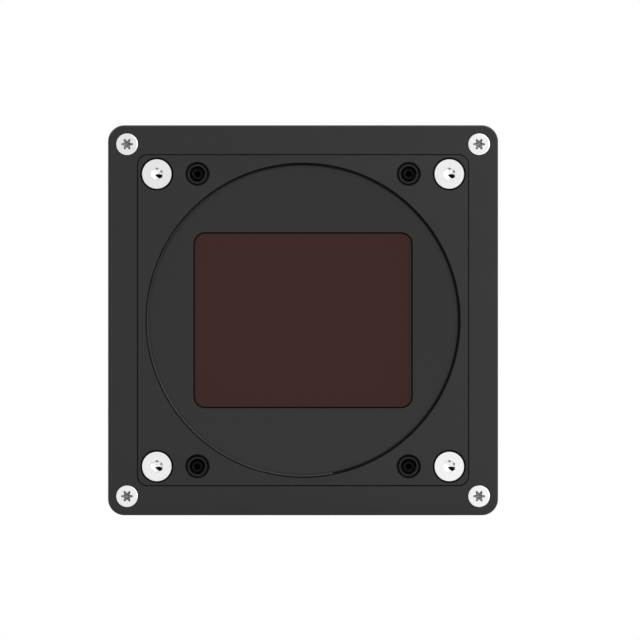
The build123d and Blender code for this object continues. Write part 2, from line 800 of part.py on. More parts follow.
# Coaxial data jacks: a turned shell on a square base, its insulator and its centre pin
jack_mouth = recess_face + jack_length
jack_shoulder = recess_face + jack_body_stand_out
for number, (x, z) in enumerate(jack_places, start=1):
    with BuildPart() as shell:
        with BuildSketch(axial_plane(x, z)):
            with BuildLine():
                Polyline(
                    (jack_bore_radius, interface_board_rear),
                    (jack_body_radius, interface_board_rear),
                    (jack_body_radius, jack_shoulder),
                    (jack_barrel_radius, jack_shoulder),
                    (jack_barrel_radius, jack_mouth - jack_mouth_chamfer),
                    (jack_barrel_radius - jack_mouth_chamfer, jack_mouth),
                    (jack_bore_radius, jack_mouth),
                    close=True,
                )
            make_face()
        revolve(axis=Axis((x, 0, z), (0, 1, 0)))
        with BuildSketch(depth_plane(interface_board_rear)):
            with Locations((x, z)):
                Rectangle(jack_base_width, jack_base_width)
                Circle(jack_bore_radius, mode=Mode.SUBTRACT)
        extrude(amount=-jack_base_thickness)
    shell.part.label = f"data_jack_shell_{number}"
    export_step(shell.part, f"parts/data_jack_shell_{number}.step")
    with BuildPart() as insulator:
        with BuildSketch(depth_plane(interface_board_rear)):
            with Locations((x, z)):
                Circle(jack_bore_radius - screw_clearance)
                Circle(jack_pin_radius + screw_clearance, mode=Mode.SUBTRACT)
        extrude(amount=-(recess_face + jack_insulator_stand_out - interface_board_rear))
    insulator.part.label = f"data_jack_insulator_{number}"
    export_step(insulator.part, f"parts/data_jack_insulator_{number}.step")
    with BuildPart() as pin:
        with BuildSketch(depth_plane(interface_board_rear)):
            with Locations((x, z)):
                Circle(jack_pin_radius)
        extrude(amount=-(jack_mouth - jack_pin_set_back - interface_board_rear))
    pin.part.label = f"data_jack_pin_{number}"
    export_step(pin.part, f"parts/data_jack_pin_{number}.step")

# Round power socket: a turned shell held by a nut inside the cover, with an insert and its pins
socket_mouth = recess_face + socket_length
socket_front = housing_rear - socket_inner_end
insert_face = socket_front + socket_insert_depth
with BuildPart() as power_socket_shell:
    with BuildSketch(axial_plane(socket_x, socket_z)):
        with BuildLine():
            Polyline(
                (socket_bore_radius, socket_front),
                (socket_body_radius, socket_front),
                (socket_body_radius, recess_face),
                (socket_flange_radius, recess_face),
                (socket_flange_radius, recess_face + socket_flange_thickness),
                (socket_body_radius, recess_face + socket_flange_thickness),
                (socket_body_radius, socket_mouth - socket_mouth_chamfer),
                (socket_body_radius - socket_mouth_chamfer, socket_mouth),
                (socket_bore_radius, socket_mouth),
                close=True,
            )
        make_face()
    revolve(axis=Axis((socket_x, 0, socket_z), (0, 1, 0)))
power_socket_shell.part.label = "power_socket_shell"
export_step(power_socket_shell.part, "parts/power_socket_shell.step")


def socket_pins(radius, mode):
    """The two rings of the power socket's pins, each pin with a few flat sides."""
    with Locations((socket_x, socket_z)):
        with PolarLocations(socket_outer_pin_circle, socket_outer_pins, 90):
            RegularPolygon(radius, socket_pin_sides, mode=mode)
        with PolarLocations(socket_inner_pin_circle, socket_inner_pins, 90):
            RegularPolygon(radius, socket_pin_sides, mode=mode)


with BuildPart() as power_socket_insert:
    with BuildSketch(depth_plane(socket_front)):
        with Locations((socket_x, socket_z)):
            Circle(socket_bore_radius - screw_clearance)
        socket_pins(socket_pin_radius + screw_clearance, Mode.SUBTRACT)
    extrude(amount=-socket_insert_depth)
power_socket_insert.part.label = "power_socket_insert"
export_step(power_socket_insert.part, "parts/power_socket_insert.step")

with BuildPart() as power_socket_pins:
    with BuildSketch(depth_plane(interface_board_rear)):
        socket_pins(socket_pin_radius, Mode.ADD)
    extrude(amount=-(insert_face + socket_pin_length - interface_board_rear))
power_socket_pins.part.label = "power_socket_pins"
export_step(power_socket_pins.part, "parts/power_socket_pins.step")

with BuildPart() as power_socket_nut:
    with BuildSketch(depth_plane(housing_rear)):
        with Locations((socket_x, socket_z)):
            RegularPolygon(socket_nut_width / 2, 6, major_radius=False)
            Circle(socket_body_radius + screw_clearance, mode=Mode.SUBTRACT)
    extrude(amount=socket_nut_thickness)
power_socket_nut.part.label = "power_socket_nut"
export_step(power_socket_nut.part, "parts/power_socket_nut.step")

# Status light: a lamp on the board and a clear rod that carries its light through the cover
status_lamp = flat_piece(lamp_width, lamp_height, interface_board_rear, lamp_thickness, light_x, light_z)
status_lamp.part.label = "status_lamp"
export_step(status_lamp.part, "parts/status_lamp.step")

with BuildPart() as status_light:
    with BuildSketch(depth_plane(interface_board_rear + lamp_thickness)):
        with Locations((light_x, light_z)):
            Circle(light_radius)
    extrude(amount=-(recess_face + light_stand_out - interface_board_rear - lamp_thickness))
    chamfer(status_light.faces().sort_by(Axis.Y)[-1].edges(), light_edge_break)
status_light.part.label = "status_light"
export_step(status_light.part, "parts/status_light.step")
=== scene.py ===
import json
import math

import bmesh
import bpy
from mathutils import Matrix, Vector


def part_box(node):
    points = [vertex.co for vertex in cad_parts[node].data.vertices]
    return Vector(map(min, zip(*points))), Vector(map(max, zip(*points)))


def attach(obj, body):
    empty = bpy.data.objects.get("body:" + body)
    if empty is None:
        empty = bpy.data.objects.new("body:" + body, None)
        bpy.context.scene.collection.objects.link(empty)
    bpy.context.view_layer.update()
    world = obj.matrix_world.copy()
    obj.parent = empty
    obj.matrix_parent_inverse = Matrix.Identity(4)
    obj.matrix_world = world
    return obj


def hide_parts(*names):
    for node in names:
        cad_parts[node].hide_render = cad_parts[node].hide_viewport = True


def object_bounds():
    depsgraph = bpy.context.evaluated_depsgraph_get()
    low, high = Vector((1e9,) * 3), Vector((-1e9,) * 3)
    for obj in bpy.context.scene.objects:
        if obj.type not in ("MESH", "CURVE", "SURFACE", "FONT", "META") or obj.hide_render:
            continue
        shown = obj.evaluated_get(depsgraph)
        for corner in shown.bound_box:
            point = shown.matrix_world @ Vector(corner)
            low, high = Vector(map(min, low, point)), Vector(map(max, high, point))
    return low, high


# A square machine vision camera seen from its lens side.
# Lengths are in metres, +Z is up, and the lens side faces -Y.
MM = 0.001
BODY = "root"

# Camera view: the object's centre in the 640 pixel picture, and the picture's scale
PICTURE_PIXELS = 640
PIXELS_PER_MM = 5.4167
OBJECT_CENTRE_PIXEL = (303.06, 320.24)
CAMERA_DISTANCE = 0.6
CAMERA_NEAREST = 0.01

# Lens thread, M58 x 0.75. It begins bluntly at one angle, where its first crest is as deep as given here.
# What is further out than its lit radius takes a near-black finish that paints shade
LENS_MINOR_RADIUS = 28.594 * MM
LENS_MAJOR_RADIUS = 29.0 * MM
LENS_MOUTH_RADIUS = 29.1 * MM
LENS_LIT_RADIUS = 28.86 * MM
LENS_PITCH = 0.75 * MM
LENS_THREAD_START = math.radians(281)
LENS_FIRST_CREST = 0.2 * MM
LENS_THREAD_END = 5.4 * MM
LENS_SEGMENTS = 480

# Shape of a thread, in pitches from the middle of a crest
CREST_HALF = 0.125
FLANK_MIDDLE = 0.28
FLANK_END = 0.4375
FIRST_CREST_STEPS = 24
CREST_STATIONS = (-FLANK_END, -FLANK_MIDDLE, -CREST_HALF, CREST_HALF, FLANK_MIDDLE, FLANK_END)

# Lens plate
PLATE_CORNER_RADIUS = 1.75 * MM
PLATE_EDGE_BREAK = 0.08 * MM
HOLE_SEGMENTS = 72

# Plate screws, M3 with a hexagon socket, and their seats
MOUNT_SCREW_OFFSET = 27.0 * MM
MOUNT_COUNTERBORE_RADIUS = 3.05 * MM
MOUNT_COUNTERBORE_DEPTH = 0.9 * MM
MOUNT_LIP = 0.03 * MM
MOUNT_SEAT_RADIUS = 2.19 * MM
MOUNT_HOLE_RADIUS = 1.7 * MM
MOUNT_HEAD_RADIUS = 2.75 * MM
MOUNT_HEAD_TOP = 0.2 * MM
MOUNT_HEAD_EDGE = 0.05 * MM
MOUNT_HEAD_RIM = 0.12 * MM
MOUNT_SHANK_RADIUS = 1.5 * MM
MOUNT_SOCKET_WIDTH = 2.0 * MM
MOUNT_SOCKET_DEPTH = 1.1 * MM
MOUNT_FLOOR_DIP = 0.12 * MM
MOUNT_FLOOR_STEPS = 14
MOUNT_SEGMENTS = 96

# Painted on that socket's floor: a black oval that widens toward one end, a painted dark reflection, and
# painted shade in two corners
DARK_REFLECTION_X = 0.44 * MM
DARK_REFLECTION_Z = -0.39 * MM
DARK_REFLECTION_LENGTH = 0.78 * MM
DARK_REFLECTION_WIDTH = 0.46 * MM
DARK_REFLECTION_MIDDLE_SHARE = 0.8
DARK_REFLECTION_WIDENING = 0.35
DARK_REFLECTION_TURN = math.radians(-18)
SHADED_CORNERS = ((0.03 * MM, 1.06 * MM), (0.92 * MM, 0.52 * MM))
SHADED_CORNER_RADIUS = 0.3 * MM

# Tapped adapter holes, M3
ADAPTER_OFFSET_X = 19.5 * MM
ADAPTER_OFFSET_Z = 27.0 * MM
ADAPTER_WALL_TOP_RADIUS = 2.11 * MM
ADAPTER_WALL_FOOT_RADIUS = 1.74 * MM
ADAPTER_COUNTERBORE_DEPTH = 0.8 * MM
ADAPTER_MOUTH_CHAMFER = 0.2 * MM
ADAPTER_MINOR_RADIUS = 1.25 * MM
ADAPTER_MAJOR_RADIUS = 1.5 * MM
ADAPTER_PITCH = 0.5 * MM
ADAPTER_TAPPED_TO = 4.2 * MM
ADAPTER_DRILLED_TO = ADAPTER_TAPPED_TO + 0.3 * MM
ADAPTER_THREAD_CHAMFER = 0.04 * MM
ADAPTER_SHOULDER_RADIUS = 0.8 * ADAPTER_MINOR_RADIUS
ADAPTER_CONE_RADIUS = 0.45 * ADAPTER_MINOR_RADIUS
ADAPTER_END_WALL = 0.05 * MM

# Corner screws, M2 with a six-lobe socket whose walls taper. A flat band follows its edge
CORNER_OFFSET = 32.5 * MM
CORNER_HEAD_RADIUS = 2.0 * MM
CORNER_HEAD_HEIGHT = 1.6 * MM
CORNER_HEAD_EDGE = 0.06 * MM
CORNER_HEAD_SETBACK = 0.1 * MM
CORNER_SHANK_RADIUS = 1.0 * MM
LOBE_MEAN_RADIUS = 0.8 * MM
LOBE_SWING = 0.28 * MM
LOBE_DEPTH = 0.7 * MM
LOBE_POINT_DEPTH = 0.45 * MM
LOBE_TAPER = 0.08 * MM
LOBE_EDGE = 0.04 * MM
LOBE_LAND = 0.1 * MM
CORNER_SEGMENTS = 144

# Data jacks on the rear, each with a knurled body, an undercut and two bayonet lugs.
# The groove in the bore is measured from the mouth, and the lugs' chamfer is a share of their radius
JACK_COUNT = 4
JACK_SEGMENTS = 144
JACK_BASE_THICKNESS = 2.4 * MM
JACK_BASE_CORNER = 0.4 * MM
JACK_BODY_RADIUS = 3.4 * MM
JACK_BODY_STAND_OUT = 1.2 * MM
JACK_BARREL_RADIUS = 2.5 * MM
JACK_BORE_RADIUS = 1.85 * MM
JACK_FLUTES = 36
JACK_FLUTE_DEPTH = 0.16 * MM
JACK_UNDERCUT = 0.3 * MM
JACK_UNDERCUT_WIDTH = 0.7 * MM
JACK_GROOVE_START = 1.2 * MM
JACK_GROOVE_END = 1.9 * MM
JACK_LUG_RADIUS = 0.5 * MM
JACK_LUG_REACH = 3.1 * MM
JACK_LUG_SETBACK = 2.6 * MM
JACK_LUG_FOOT = 1.15 * JACK_BORE_RADIUS
JACK_LUG_CHAMFER = 0.25
JACK_LUG_SEGMENTS = 24
JACK_PIN_BORE_RADIUS = 0.2 * MM
JACK_PIN_BORE_DEPTH = 1.2 * MM
JACK_PIN_CHAMFER = 0.06 * MM
JACK_PIN_SEGMENTS = 32

# Round power socket on the rear. Its latch groove is measured from the mouth, its key grooves in degrees
RECESS_DEPTH = 0.8 * MM
SOCKET_SEGMENTS = 240
SOCKET_BODY_RADIUS = 5.6 * MM
SOCKET_BORE_RADIUS = 4.7 * MM
SOCKET_FLANGE_RADIUS = 7.2 * MM
SOCKET_FLANGE_THICKNESS = 1.4 * MM
SOCKET_FLUTES = 60
SOCKET_FLUTE_DEPTH = 0.16 * MM
SOCKET_GROOVE_DEPTH = 0.25 * MM
SOCKET_GROOVE_START = 2.2 * MM
SOCKET_GROOVE_END = 3.2 * MM
SOCKET_KEY_ANGLES = (90, 205, 335)
SOCKET_KEY_HALF_WIDTH = 5.5
SOCKET_KEY_DEPTH = 0.4 * MM
SOCKET_KEY_FLOOR = 0.05 * MM
SOCKET_PIN_RADIUS = 0.4 * MM
SOCKET_PIN_RINGS = ((3.3 * MM, 9), (1.35 * MM, 3))
SOCKET_PIN_SEGMENTS = 24
SOCKET_PIN_STEPS = 6
CONNECTOR_CHAMFER = 0.15 * MM

# Where the middle points of a rounded edge lie, as a share of its size
ROUNDING = 0.3

# Status light
LIGHT_DOME = 0.35 * MM
LIGHT_DOME_STEPS = 9
LIGHT_SEGMENTS = 64

# Outline of the body, and the break of its edges where two of its pieces meet
BODY_CORNER_RADIUS = 3.0 * MM
SEAM_BREAK = 0.13 * MM

# Window glass and the opening in front of it. The glass's black border is painted shade along the opening's
# edge
WINDOW_MARGIN = 1.25 * MM
WINDOW_CORNER_RADIUS = 2.15 * MM
GLASS_CORNER_RADIUS = 1.0 * MM
GLASS_SHADE_BORDER = 0.27 * MM

# Finishes of the lens plate and of the screws, and their places in these lists
# The plate's near-black finish is painted shade
PLATE_SLOTS = ["black_anodised", "painted_shade_black", "edge_black", "hole_end"]
PLATE_SHADE, PLATE_EDGE, PLATE_HOLE_END = 1, 2, 3
# The screws' darker steel is painted shade, and their near-black patch a painted dark reflection
SCREW_SLOTS = ["bright_steel", "painted_shade_steel", "painted_shade_black"]
SCREW_PAINTED_SHADE, SCREW_PAINTED_REFLECTION = 1, 2

# Milled floor round the window, the positions between which a varied colour changes, and even noise
MILLED_TONE = 0.0385
MILLED_ROUGHNESS = 0.14
MILLED_HALF_SPAN = 0.1 * MM
COLOUR_CHANGE = (0.35, 0.65)
EVEN = (1.0, 1.0, 1.0)

# Angles in degrees below which faces shade smoothly or count as one flat, and distances below which
# places count as one
SMOOTH_ANGLE = 30.0
SCREW_SMOOTH_ANGLE = 25.0
FLAT_ANGLE = 0.5
MERGE_DISTANCE = 1e-8
CAD_MERGE_DISTANCE = 1e-7
SEAM_TOLERANCE = 1e-6
OUTLINE_TOLERANCE = 0.02 * MM

# Soft boxes, each with its place, the length of its sides and its power. One stands near on the right,
# three graze the face, and the last two light the left side and the rear
LAMP_TARGET = (0.0, 0.03, 0.0)
LAMPS = (
    ("key_lamp", (0.24, -0.465, 0.11), 0.36, 0.72),
    ("right_lamp", (0.85, -0.15, 0.1), 0.7, 2.0),
    ("corner_lamp", (0.6, -0.15, 0.6), 0.7, 2.0),
    ("top_lamp", (0.1, -0.15, 0.9), 0.7, 2.2),
    ("left_lamp", (-0.7, 0.0, 0.75), 0.8, 3.0),
    ("back_lamp", (0.15, 0.7, 0.95), 0.9, 6.0),
)

# Surroundings: how strongly the white world lights the object, and the floor's place and glow
WORLD_LIGHT = 0.5
FLOOR_GAP = 0.02 * MM
FLOOR_REACH = 3.0
FLOOR_GLOW = 0.45

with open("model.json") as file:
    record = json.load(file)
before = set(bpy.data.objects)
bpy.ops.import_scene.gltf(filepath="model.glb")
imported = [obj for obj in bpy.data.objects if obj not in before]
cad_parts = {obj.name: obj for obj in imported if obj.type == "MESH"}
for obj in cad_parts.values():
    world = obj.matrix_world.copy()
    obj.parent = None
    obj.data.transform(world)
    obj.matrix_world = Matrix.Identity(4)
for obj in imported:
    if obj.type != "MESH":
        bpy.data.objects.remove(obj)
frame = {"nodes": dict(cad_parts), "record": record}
nodes = frame["nodes"]
cad_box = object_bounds()
record_slots = {part["node"]: part["material_slot"] for part in frame["record"]["subparts"]}


def srgb(value):
    """The linear value of an 8-bit colour value."""
    value = value / 255
    return value / 12.92 if value <= 0.04045 else ((value + 0.055) / 1.055) ** 2.4


def colour(red, green, blue):
    """A linear colour from 8-bit values."""
    return (srgb(red), srgb(green), srgb(blue), 1.0)


def grey(value):
    """A neutral linear colour."""
    return (value, value, value, 1.0)


# Materials


def new_material(name, base, roughness, metallic=0.0, specular=0.5):
    """A material with its shader set to plain values, ready for its procedural detail."""
    material = bpy.data.materials.new(name)
    material.use_nodes = True
    shader = material.node_tree.nodes["Principled BSDF"]
    shader.inputs["Base Color"].default_value = base
    shader.inputs["Roughness"].default_value = roughness
    shader.inputs["Metallic"].default_value = metallic
    shader.inputs["Specular IOR Level"].default_value = specular
    return material, material.node_tree, shader


def object_noise(tree, scale, detail=4.0, stretch=EVEN):
    """Noise in the object's own coordinates. The scale is in cycles a metre."""
    place = tree.nodes.new("ShaderNodeTexCoord")
    spread = tree.nodes.new("ShaderNodeMapping")
    spread.inputs["Scale"].default_value = stretch
    noise = tree.nodes.new("ShaderNodeTexNoise")
    noise.inputs["Scale"].default_value = scale
    noise.inputs["Detail"].default_value = detail
    tree.links.new(place.outputs["Object"], spread.inputs["Vector"])
    tree.links.new(spread.outputs["Vector"], noise.inputs["Vector"])
    return noise


def vary_roughness(tree, shader, noise, low, high):
    """Roughness that wanders between two values."""
    span = tree.nodes.new("ShaderNodeMapRange")
    span.inputs["To Min"].default_value = low
    span.inputs["To Max"].default_value = high
    tree.links.new(noise.outputs["Fac"], span.inputs["Value"])
    tree.links.new(span.outputs["Result"], shader.inputs["Roughness"])


def vary_colour(tree, shader, noise, first, second):
    """A base colour that wanders between two colours."""
    ramp = tree.nodes.new("ShaderNodeValToRGB")
    ramp.color_ramp.elements[0].position = COLOUR_CHANGE[0]
    ramp.color_ramp.elements[0].color = first
    ramp.color_ramp.elements[1].position = COLOUR_CHANGE[1]
    ramp.color_ramp.elements[1].color = second
    tree.links.new(noise.outputs["Fac"], ramp.inputs["Fac"])
    tree.links.new(ramp.outputs["Color"], shader.inputs["Base Color"])


def add_bump(tree, shader, noise, height, strength):
    """Fine relief of this height in metres."""
    bump = tree.nodes.new("ShaderNodeBump")
    bump.inputs["Distance"].default_value = height
    bump.inputs["Strength"].default_value = strength
    tree.links.new(noise.outputs["Fac"], bump.inputs["Height"])
    tree.links.new(bump.outputs["Normal"], shader.inputs["Normal"])


def anodised(name, low, high, roughness, specular):
    """Bead-blasted and anodised aluminium: a fine even grain with slight changes of tone."""
    material, tree, shader = new_material(name, low, roughness, specular=specular)
    grain = object_noise(tree, 9000.0, 3.0)
    clouds = object_noise(tree, 90.0, 5.0)
    add_bump(tree, shader, grain, height=0.004 * MM, strength=0.5)
    vary_colour(tree, shader, clouds, low, high)
    vary_roughness(tree, shader, clouds, roughness - 0.02, roughness + 0.02)
    return material


def math_node(tree, operation, *values):
    """The result of one sum on numbers or sockets."""
    node = tree.nodes.new("ShaderNodeMath")
    node.operation = operation
    for socket, value in zip(node.inputs, values):
        if isinstance(value, (int, float)):
            socket.default_value = value
        else:
            tree.links.new(value, socket)
    return node.outputs[0]


def near_lens_axis(tree, reach, depth, half_span):
    """1 within this distance of the lens axis and this close to one depth, and 0 elsewhere."""
    place = tree.nodes.new("ShaderNodeTexCoord")
    split = tree.nodes.new("ShaderNodeSeparateXYZ")
    tree.links.new(place.outputs["Object"], split.inputs["Vector"])
    x, y, z = split.outputs
    from_axis = math_node(tree, "ADD", math_node(tree, "MULTIPLY", x, x), math_node(tree, "MULTIPLY", z, z))
    near = math_node(tree, "LESS_THAN", from_axis, reach * reach)
    level = math_node(tree, "COMPARE", y, depth, half_span)
    return math_node(tree, "MULTIPLY", near, level)


def blend_input(tree, shader, name, mask, value, data_type="FLOAT"):
    """Gives one of the shader's inputs another value where the mask is 1."""
    socket = shader.inputs[name]
    blend = tree.nodes.new("ShaderNodeMix")
    blend.data_type = data_type
    factor, first, second = [i for i in blend.inputs if i.enabled]
    if socket.is_linked:
        tree.links.new(socket.links[0].from_socket, first)
    else:
        first.default_value = socket.default_value
    second.default_value = value
    tree.links.new(mask, factor)
    tree.links.new([o for o in blend.outputs if o.enabled][0], socket)


def frame_anodised(low, high, roughness, specular):
    """The front frame's finish, whose floor round the window is milled smooth and isn't blasted."""
    material = anodised("frame_black", low, high, roughness, specular)
    tree = material.node_tree
    shader = tree.nodes["Principled BSDF"]
    floor_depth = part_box("lens_mount_plate")[1].y
    floor = near_lens_axis(tree, LENS_MAJOR_RADIUS, floor_depth, MILLED_HALF_SPAN)
    blend_input(tree, shader, "Base Color", floor, grey(MILLED_TONE), "RGBA")
    blend_input(tree, shader, "Metallic", floor, 1.0)
    blend_input(tree, shader, "Roughness", floor, MILLED_ROUGHNESS)
    return material


def brushed_metal(name, tone, roughness, stretch):
    """Bare or plated metal with faint turning marks and a little change of shine."""
    material, tree, shader = new_material(name, tone, roughness, metallic=1.0)
    marks = object_noise(tree, 5000.0, 3.0, stretch)
    clouds = object_noise(tree, 400.0, 4.0)
    add_bump(tree, shader, marks, height=0.0015 * MM, strength=0.4)
    vary_roughness(tree, shader, clouds, roughness * 0.85, roughness * 1.15)
    return material


def moulded(name, first, second, roughness):
    """Moulded plastic or rubber with a fine texture."""
    material, tree, shader = new_material(name, first, roughness)
    grain = object_noise(tree, 3500.0, 3.0)
    clouds = object_noise(tree, 250.0, 4.0)
    add_bump(tree, shader, grain, height=0.006 * MM, strength=0.5)
    vary_colour(tree, shader, clouds, first, second)
    return material


def coated_glass():
    """Filter glass whose coating throws back red light, with a trace of unevenness."""
    material, tree, shader = new_material("filter_glass", colour(27, 20, 19), 0.06)
    shader.inputs["Specular Tint"].default_value = (1.0, 0.47, 0.45, 1.0)
    clouds = object_noise(tree, 60.0, 3.0)
    vary_colour(tree, shader, clouds, colour(26, 19, 18), colour(28, 20, 19))
    vary_roughness(tree, shader, clouds, 0.05, 0.08)
    return material


def clear_glass():
    """Clear cover glass with a faint haze."""
    material, tree, shader = new_material("clear_glass", (0.95, 0.97, 0.97, 1.0), 0.02)
    shader.inputs["Transmission Weight"].default_value = 1.0
    shader.inputs["IOR"].default_value = 1.5
    vary_roughness(tree, shader, object_noise(tree, 200.0), 0.01, 0.05)
    return material


def circuit_board():
    """Solder mask over copper traces, which show as lighter lines under the green."""
    material, tree, shader = new_material("board_green", (0.01, 0.09, 0.04, 1.0), 0.35)
    place = tree.nodes.new("ShaderNodeTexCoord")
    turn = tree.nodes.new("ShaderNodeMapping")
    turn.inputs["Rotation"].default_value = (math.radians(90), 0.0, 0.0)
    traces = tree.nodes.new("ShaderNodeTexBrick")
    traces.inputs["Scale"].default_value = 420.0
    traces.inputs["Mortar Size"].default_value = 0.05
    traces.inputs["Color1"].default_value = (0.006, 0.075, 0.03, 1.0)
    traces.inputs["Color2"].default_value = (0.009, 0.09, 0.035, 1.0)
    traces.inputs["Mortar"].default_value = (0.02, 0.16, 0.06, 1.0)
    tree.links.new(place.outputs["Object"], turn.inputs["Vector"])
    tree.links.new(turn.outputs["Vector"], traces.inputs["Vector"])
    tree.links.new(traces.outputs["Color"], shader.inputs["Base Color"])
    vary_roughness(tree, shader, object_noise(tree, 600.0), 0.3, 0.42)
    return material


def silicon_die():
    """Polished silicon with the fine grid of the pixel array."""
    material, tree, shader = new_material("silicon", (0.05, 0.045, 0.07, 1.0), 0.12, metallic=0.6)
    grid = object_noise(tree, 30000.0, 1.0)
    add_bump(tree, shader, grid, height=0.0005 * MM, strength=0.3)
    vary_colour(tree, shader, object_noise(tree, 120.0), (0.04, 0.04, 0.07, 1.0), (0.07, 0.05, 0.08, 1.0))
    return material


def painted_shade_steel():
    """The inside of a screw's socket: a darker, duller copy of the bright steel with darker patches, painted
    shade.
    """
    material, tree, shader = new_material("painted_shade_steel", grey(0.2), 0.5, metallic=1.0)
    patches = object_noise(tree, 2600.0, 2.0)
    vary_colour(tree, shader, patches, grey(0.23), grey(0.42))
    add_bump(tree, shader, object_noise(tree, 6000.0), height=0.002 * MM, strength=0.4)
    return material


def make_materials():
    """Every finish: those of the record's slots, and those that only pieces of this scene have."""
    black = grey(0.0035)
    worn = grey(0.0045)
    finishes = {
        "frame_black": frame_anodised(black, worn, roughness=0.32, specular=0.36),
        "painted_shade_steel": painted_shade_steel(),
        "filter_glass": coated_glass(),
        "clear_glass": clear_glass(),
        "silicon": silicon_die(),
        "board_green": circuit_board(),
    }
    for name, low, high, roughness, specular in (
        ("black_anodised", black, worn, 0.32, 0.36),
        ("cover_black", black, worn, 0.36, 0.34),
        ("edge_black", grey(0.012), grey(0.015), 0.36, 0.34),
        # Painted shade: near-black and almost without shine, for shaded thread roots and hole walls, a socket
        # patch and the glass's border
        ("painted_shade_black", grey(0.002), grey(0.003), 0.6, 0.05),
        ("hole_end", grey(0.01), grey(0.018), 0.5, 0.2),
    ):
        finishes[name] = anodised(name, low, high, roughness, specular)
    for name, tone, roughness, stretch in (
        ("bright_steel", grey(0.8), 0.18, EVEN),
        ("bare_aluminium", (0.78, 0.79, 0.8, 1.0), 0.32, (1.0, 1.0, 0.05)),
        ("standoff_brass", (0.72, 0.6, 0.36, 1.0), 0.25, EVEN),
        ("gold_contact", (0.95, 0.72, 0.32, 1.0), 0.16, EVEN),
        ("nickel_shell", (0.46, 0.45, 0.43, 1.0), 0.2, (1.0, 0.1, 1.0)),
    ):
        finishes[name] = brushed_metal(name, tone, roughness, stretch)
    for name, first, second, roughness in (
        ("soft_black", grey(0.012), grey(0.02), 0.8),
        ("package_ceramic", (0.06, 0.05, 0.05, 1.0), (0.09, 0.08, 0.08, 1.0), 0.55),
        ("chip_black", (0.015, 0.015, 0.016, 1.0), (0.025, 0.025, 0.027, 1.0), 0.5),
        ("link_black", grey(0.02), grey(0.035), 0.45),
        ("thermal_grey", (0.2, 0.22, 0.24, 1.0), (0.26, 0.28, 0.3, 1.0), 0.85),
        ("white_insulator", (0.72, 0.72, 0.7, 1.0), (0.8, 0.8, 0.78, 1.0), 0.4),
        ("black_insulator", grey(0.014), grey(0.02), 0.4),
        ("light_rod", (0.62, 0.7, 0.66, 1.0), (0.68, 0.76, 0.72, 1.0), 0.2),
    ):
        finishes[name] = moulded(name, first, second, roughness)
    return finishes


materials = make_materials()


def finish_cad_nodes():
    """Each CAD node takes the material of its slot."""
    for name, node in nodes.items():
        node.data.materials.clear()
        node.data.materials.append(materials[record_slots[name]])


# Mesh building


def ring(mesh, centre, depth, points):
    """One closed loop of points across the camera, at this depth."""
    return [mesh.verts.new((centre[0] + x, depth, centre[1] + z)) for x, z in points]


def circle(radius, segments, start=0.0):
    """Points of a circle, counter-clockwise as seen from the lens side."""
    steps = [start + 2 * math.pi * i / segments for i in range(segments)]
    return [(radius * math.cos(a), radius * math.sin(a)) for a in steps]


def rounded_rectangle(half_x, half_z, corner, steps=12):
    """Points of a rectangle with round corners."""
    points = []
    for quarter in range(4):
        middle_x = (half_x - corner) * (1 if quarter in (0, 3) else -1)
        middle_z = (half_z - corner) * (1 if quarter in (0, 1) else -1)
        for step in range(steps + 1):
            angle = math.radians(90) * (quarter + step / steps)
            points.append((middle_x + corner * math.cos(angle), middle_z + corner * math.sin(angle)))
    return points


def join_rings(mesh, loops, material_index=0):
    """Bands of faces from loop to loop, which have as many points each. Returns the faces."""
    faces = []
    for first, second in zip(loops, loops[1:]):
        for i in range(len(first)):
            j = (i + 1) % len(first)
            face = mesh.faces.new((first[i], first[j], second[j], second[i]))
            face.material_index = material_index
            faces.append(face)
    return faces


def join_to_point(mesh, point, loop, material_index=0):
    """A cone of faces between a point and a loop. Returns the faces."""
    faces = []
    for i in range(len(loop)):
        face = mesh.faces.new((point, loop[i], loop[(i + 1) % len(loop)]))
        face.material_index = material_index
        faces.append(face)
    return faces


def outline(radius, segments, grow=0.0, share=1.0):
    """Points round an axis at one radius, or at the radius that a function gives for each angle.

    They can lie a little outside it, or at a share of the way out to it.
    """
    points = []
    for i in range(segments):
        angle = 2 * math.pi * i / segments
        size = ((radius(angle) if callable(radius) else radius) + grow) * share
        points.append((size * math.cos(angle), size * math.sin(angle)))
    return points


def lathe(mesh, centre, profile, segments, material_index=0):
    """A surface of revolution about Y from (radius, depth) points. Returns its loops."""
    loops = [ring(mesh, centre, depth, outline(radius, segments)) for radius, depth in profile]
    join_rings(mesh, loops, material_index)
    return loops


def turned_solid(mesh, centre, profile, segments):
    """A surface of revolution with a flat face at each end."""
    loops = lathe(mesh, centre, profile, segments)
    mesh.faces.new(loops[0])
    mesh.faces.new(loops[-1])


def loop_edges(mesh, loop):
    """The edges round one loop."""
    count = len(loop)
    found = []
    for i in range(count):
        pair = (loop[i], loop[(i + 1) % count])
        found.append(mesh.edges.get(pair) or mesh.edges.new(pair))
    return found


def fill_between(mesh, loops):
    """A flat face that the first loop bounds, with the other loops as holes in it."""
    edges = []
    for loop in loops:
        edges += loop_edges(mesh, loop)
    bmesh.ops.triangle_fill(mesh, use_beauty=True, use_dissolve=False, edges=edges)


def make_piece(name, mesh, slots, replaced, smooth_angle=SMOOTH_ANGLE):
    """Turns a finished mesh into a piece that rides on the body and stands for its CAD nodes."""
    bmesh.ops.remove_doubles(mesh, verts=mesh.verts, dist=MERGE_DISTANCE)
    bmesh.ops.dissolve_degenerate(mesh, dist=MERGE_DISTANCE, edges=mesh.edges)
    bmesh.ops.recalc_face_normals(mesh, faces=mesh.faces)
    data = bpy.data.meshes.new(name)
    mesh.to_mesh(data)
    mesh.free()
    for face in data.polygons:
        face.use_smooth = True
    data.set_sharp_from_angle(angle=math.radians(smooth_angle))
    piece = bpy.data.objects.new(name, data)
    bpy.context.scene.collection.objects.link(piece)
    for slot in slots:
        data.materials.append(materials[slot])
    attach(piece, BODY)
    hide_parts(*replaced)
    return piece


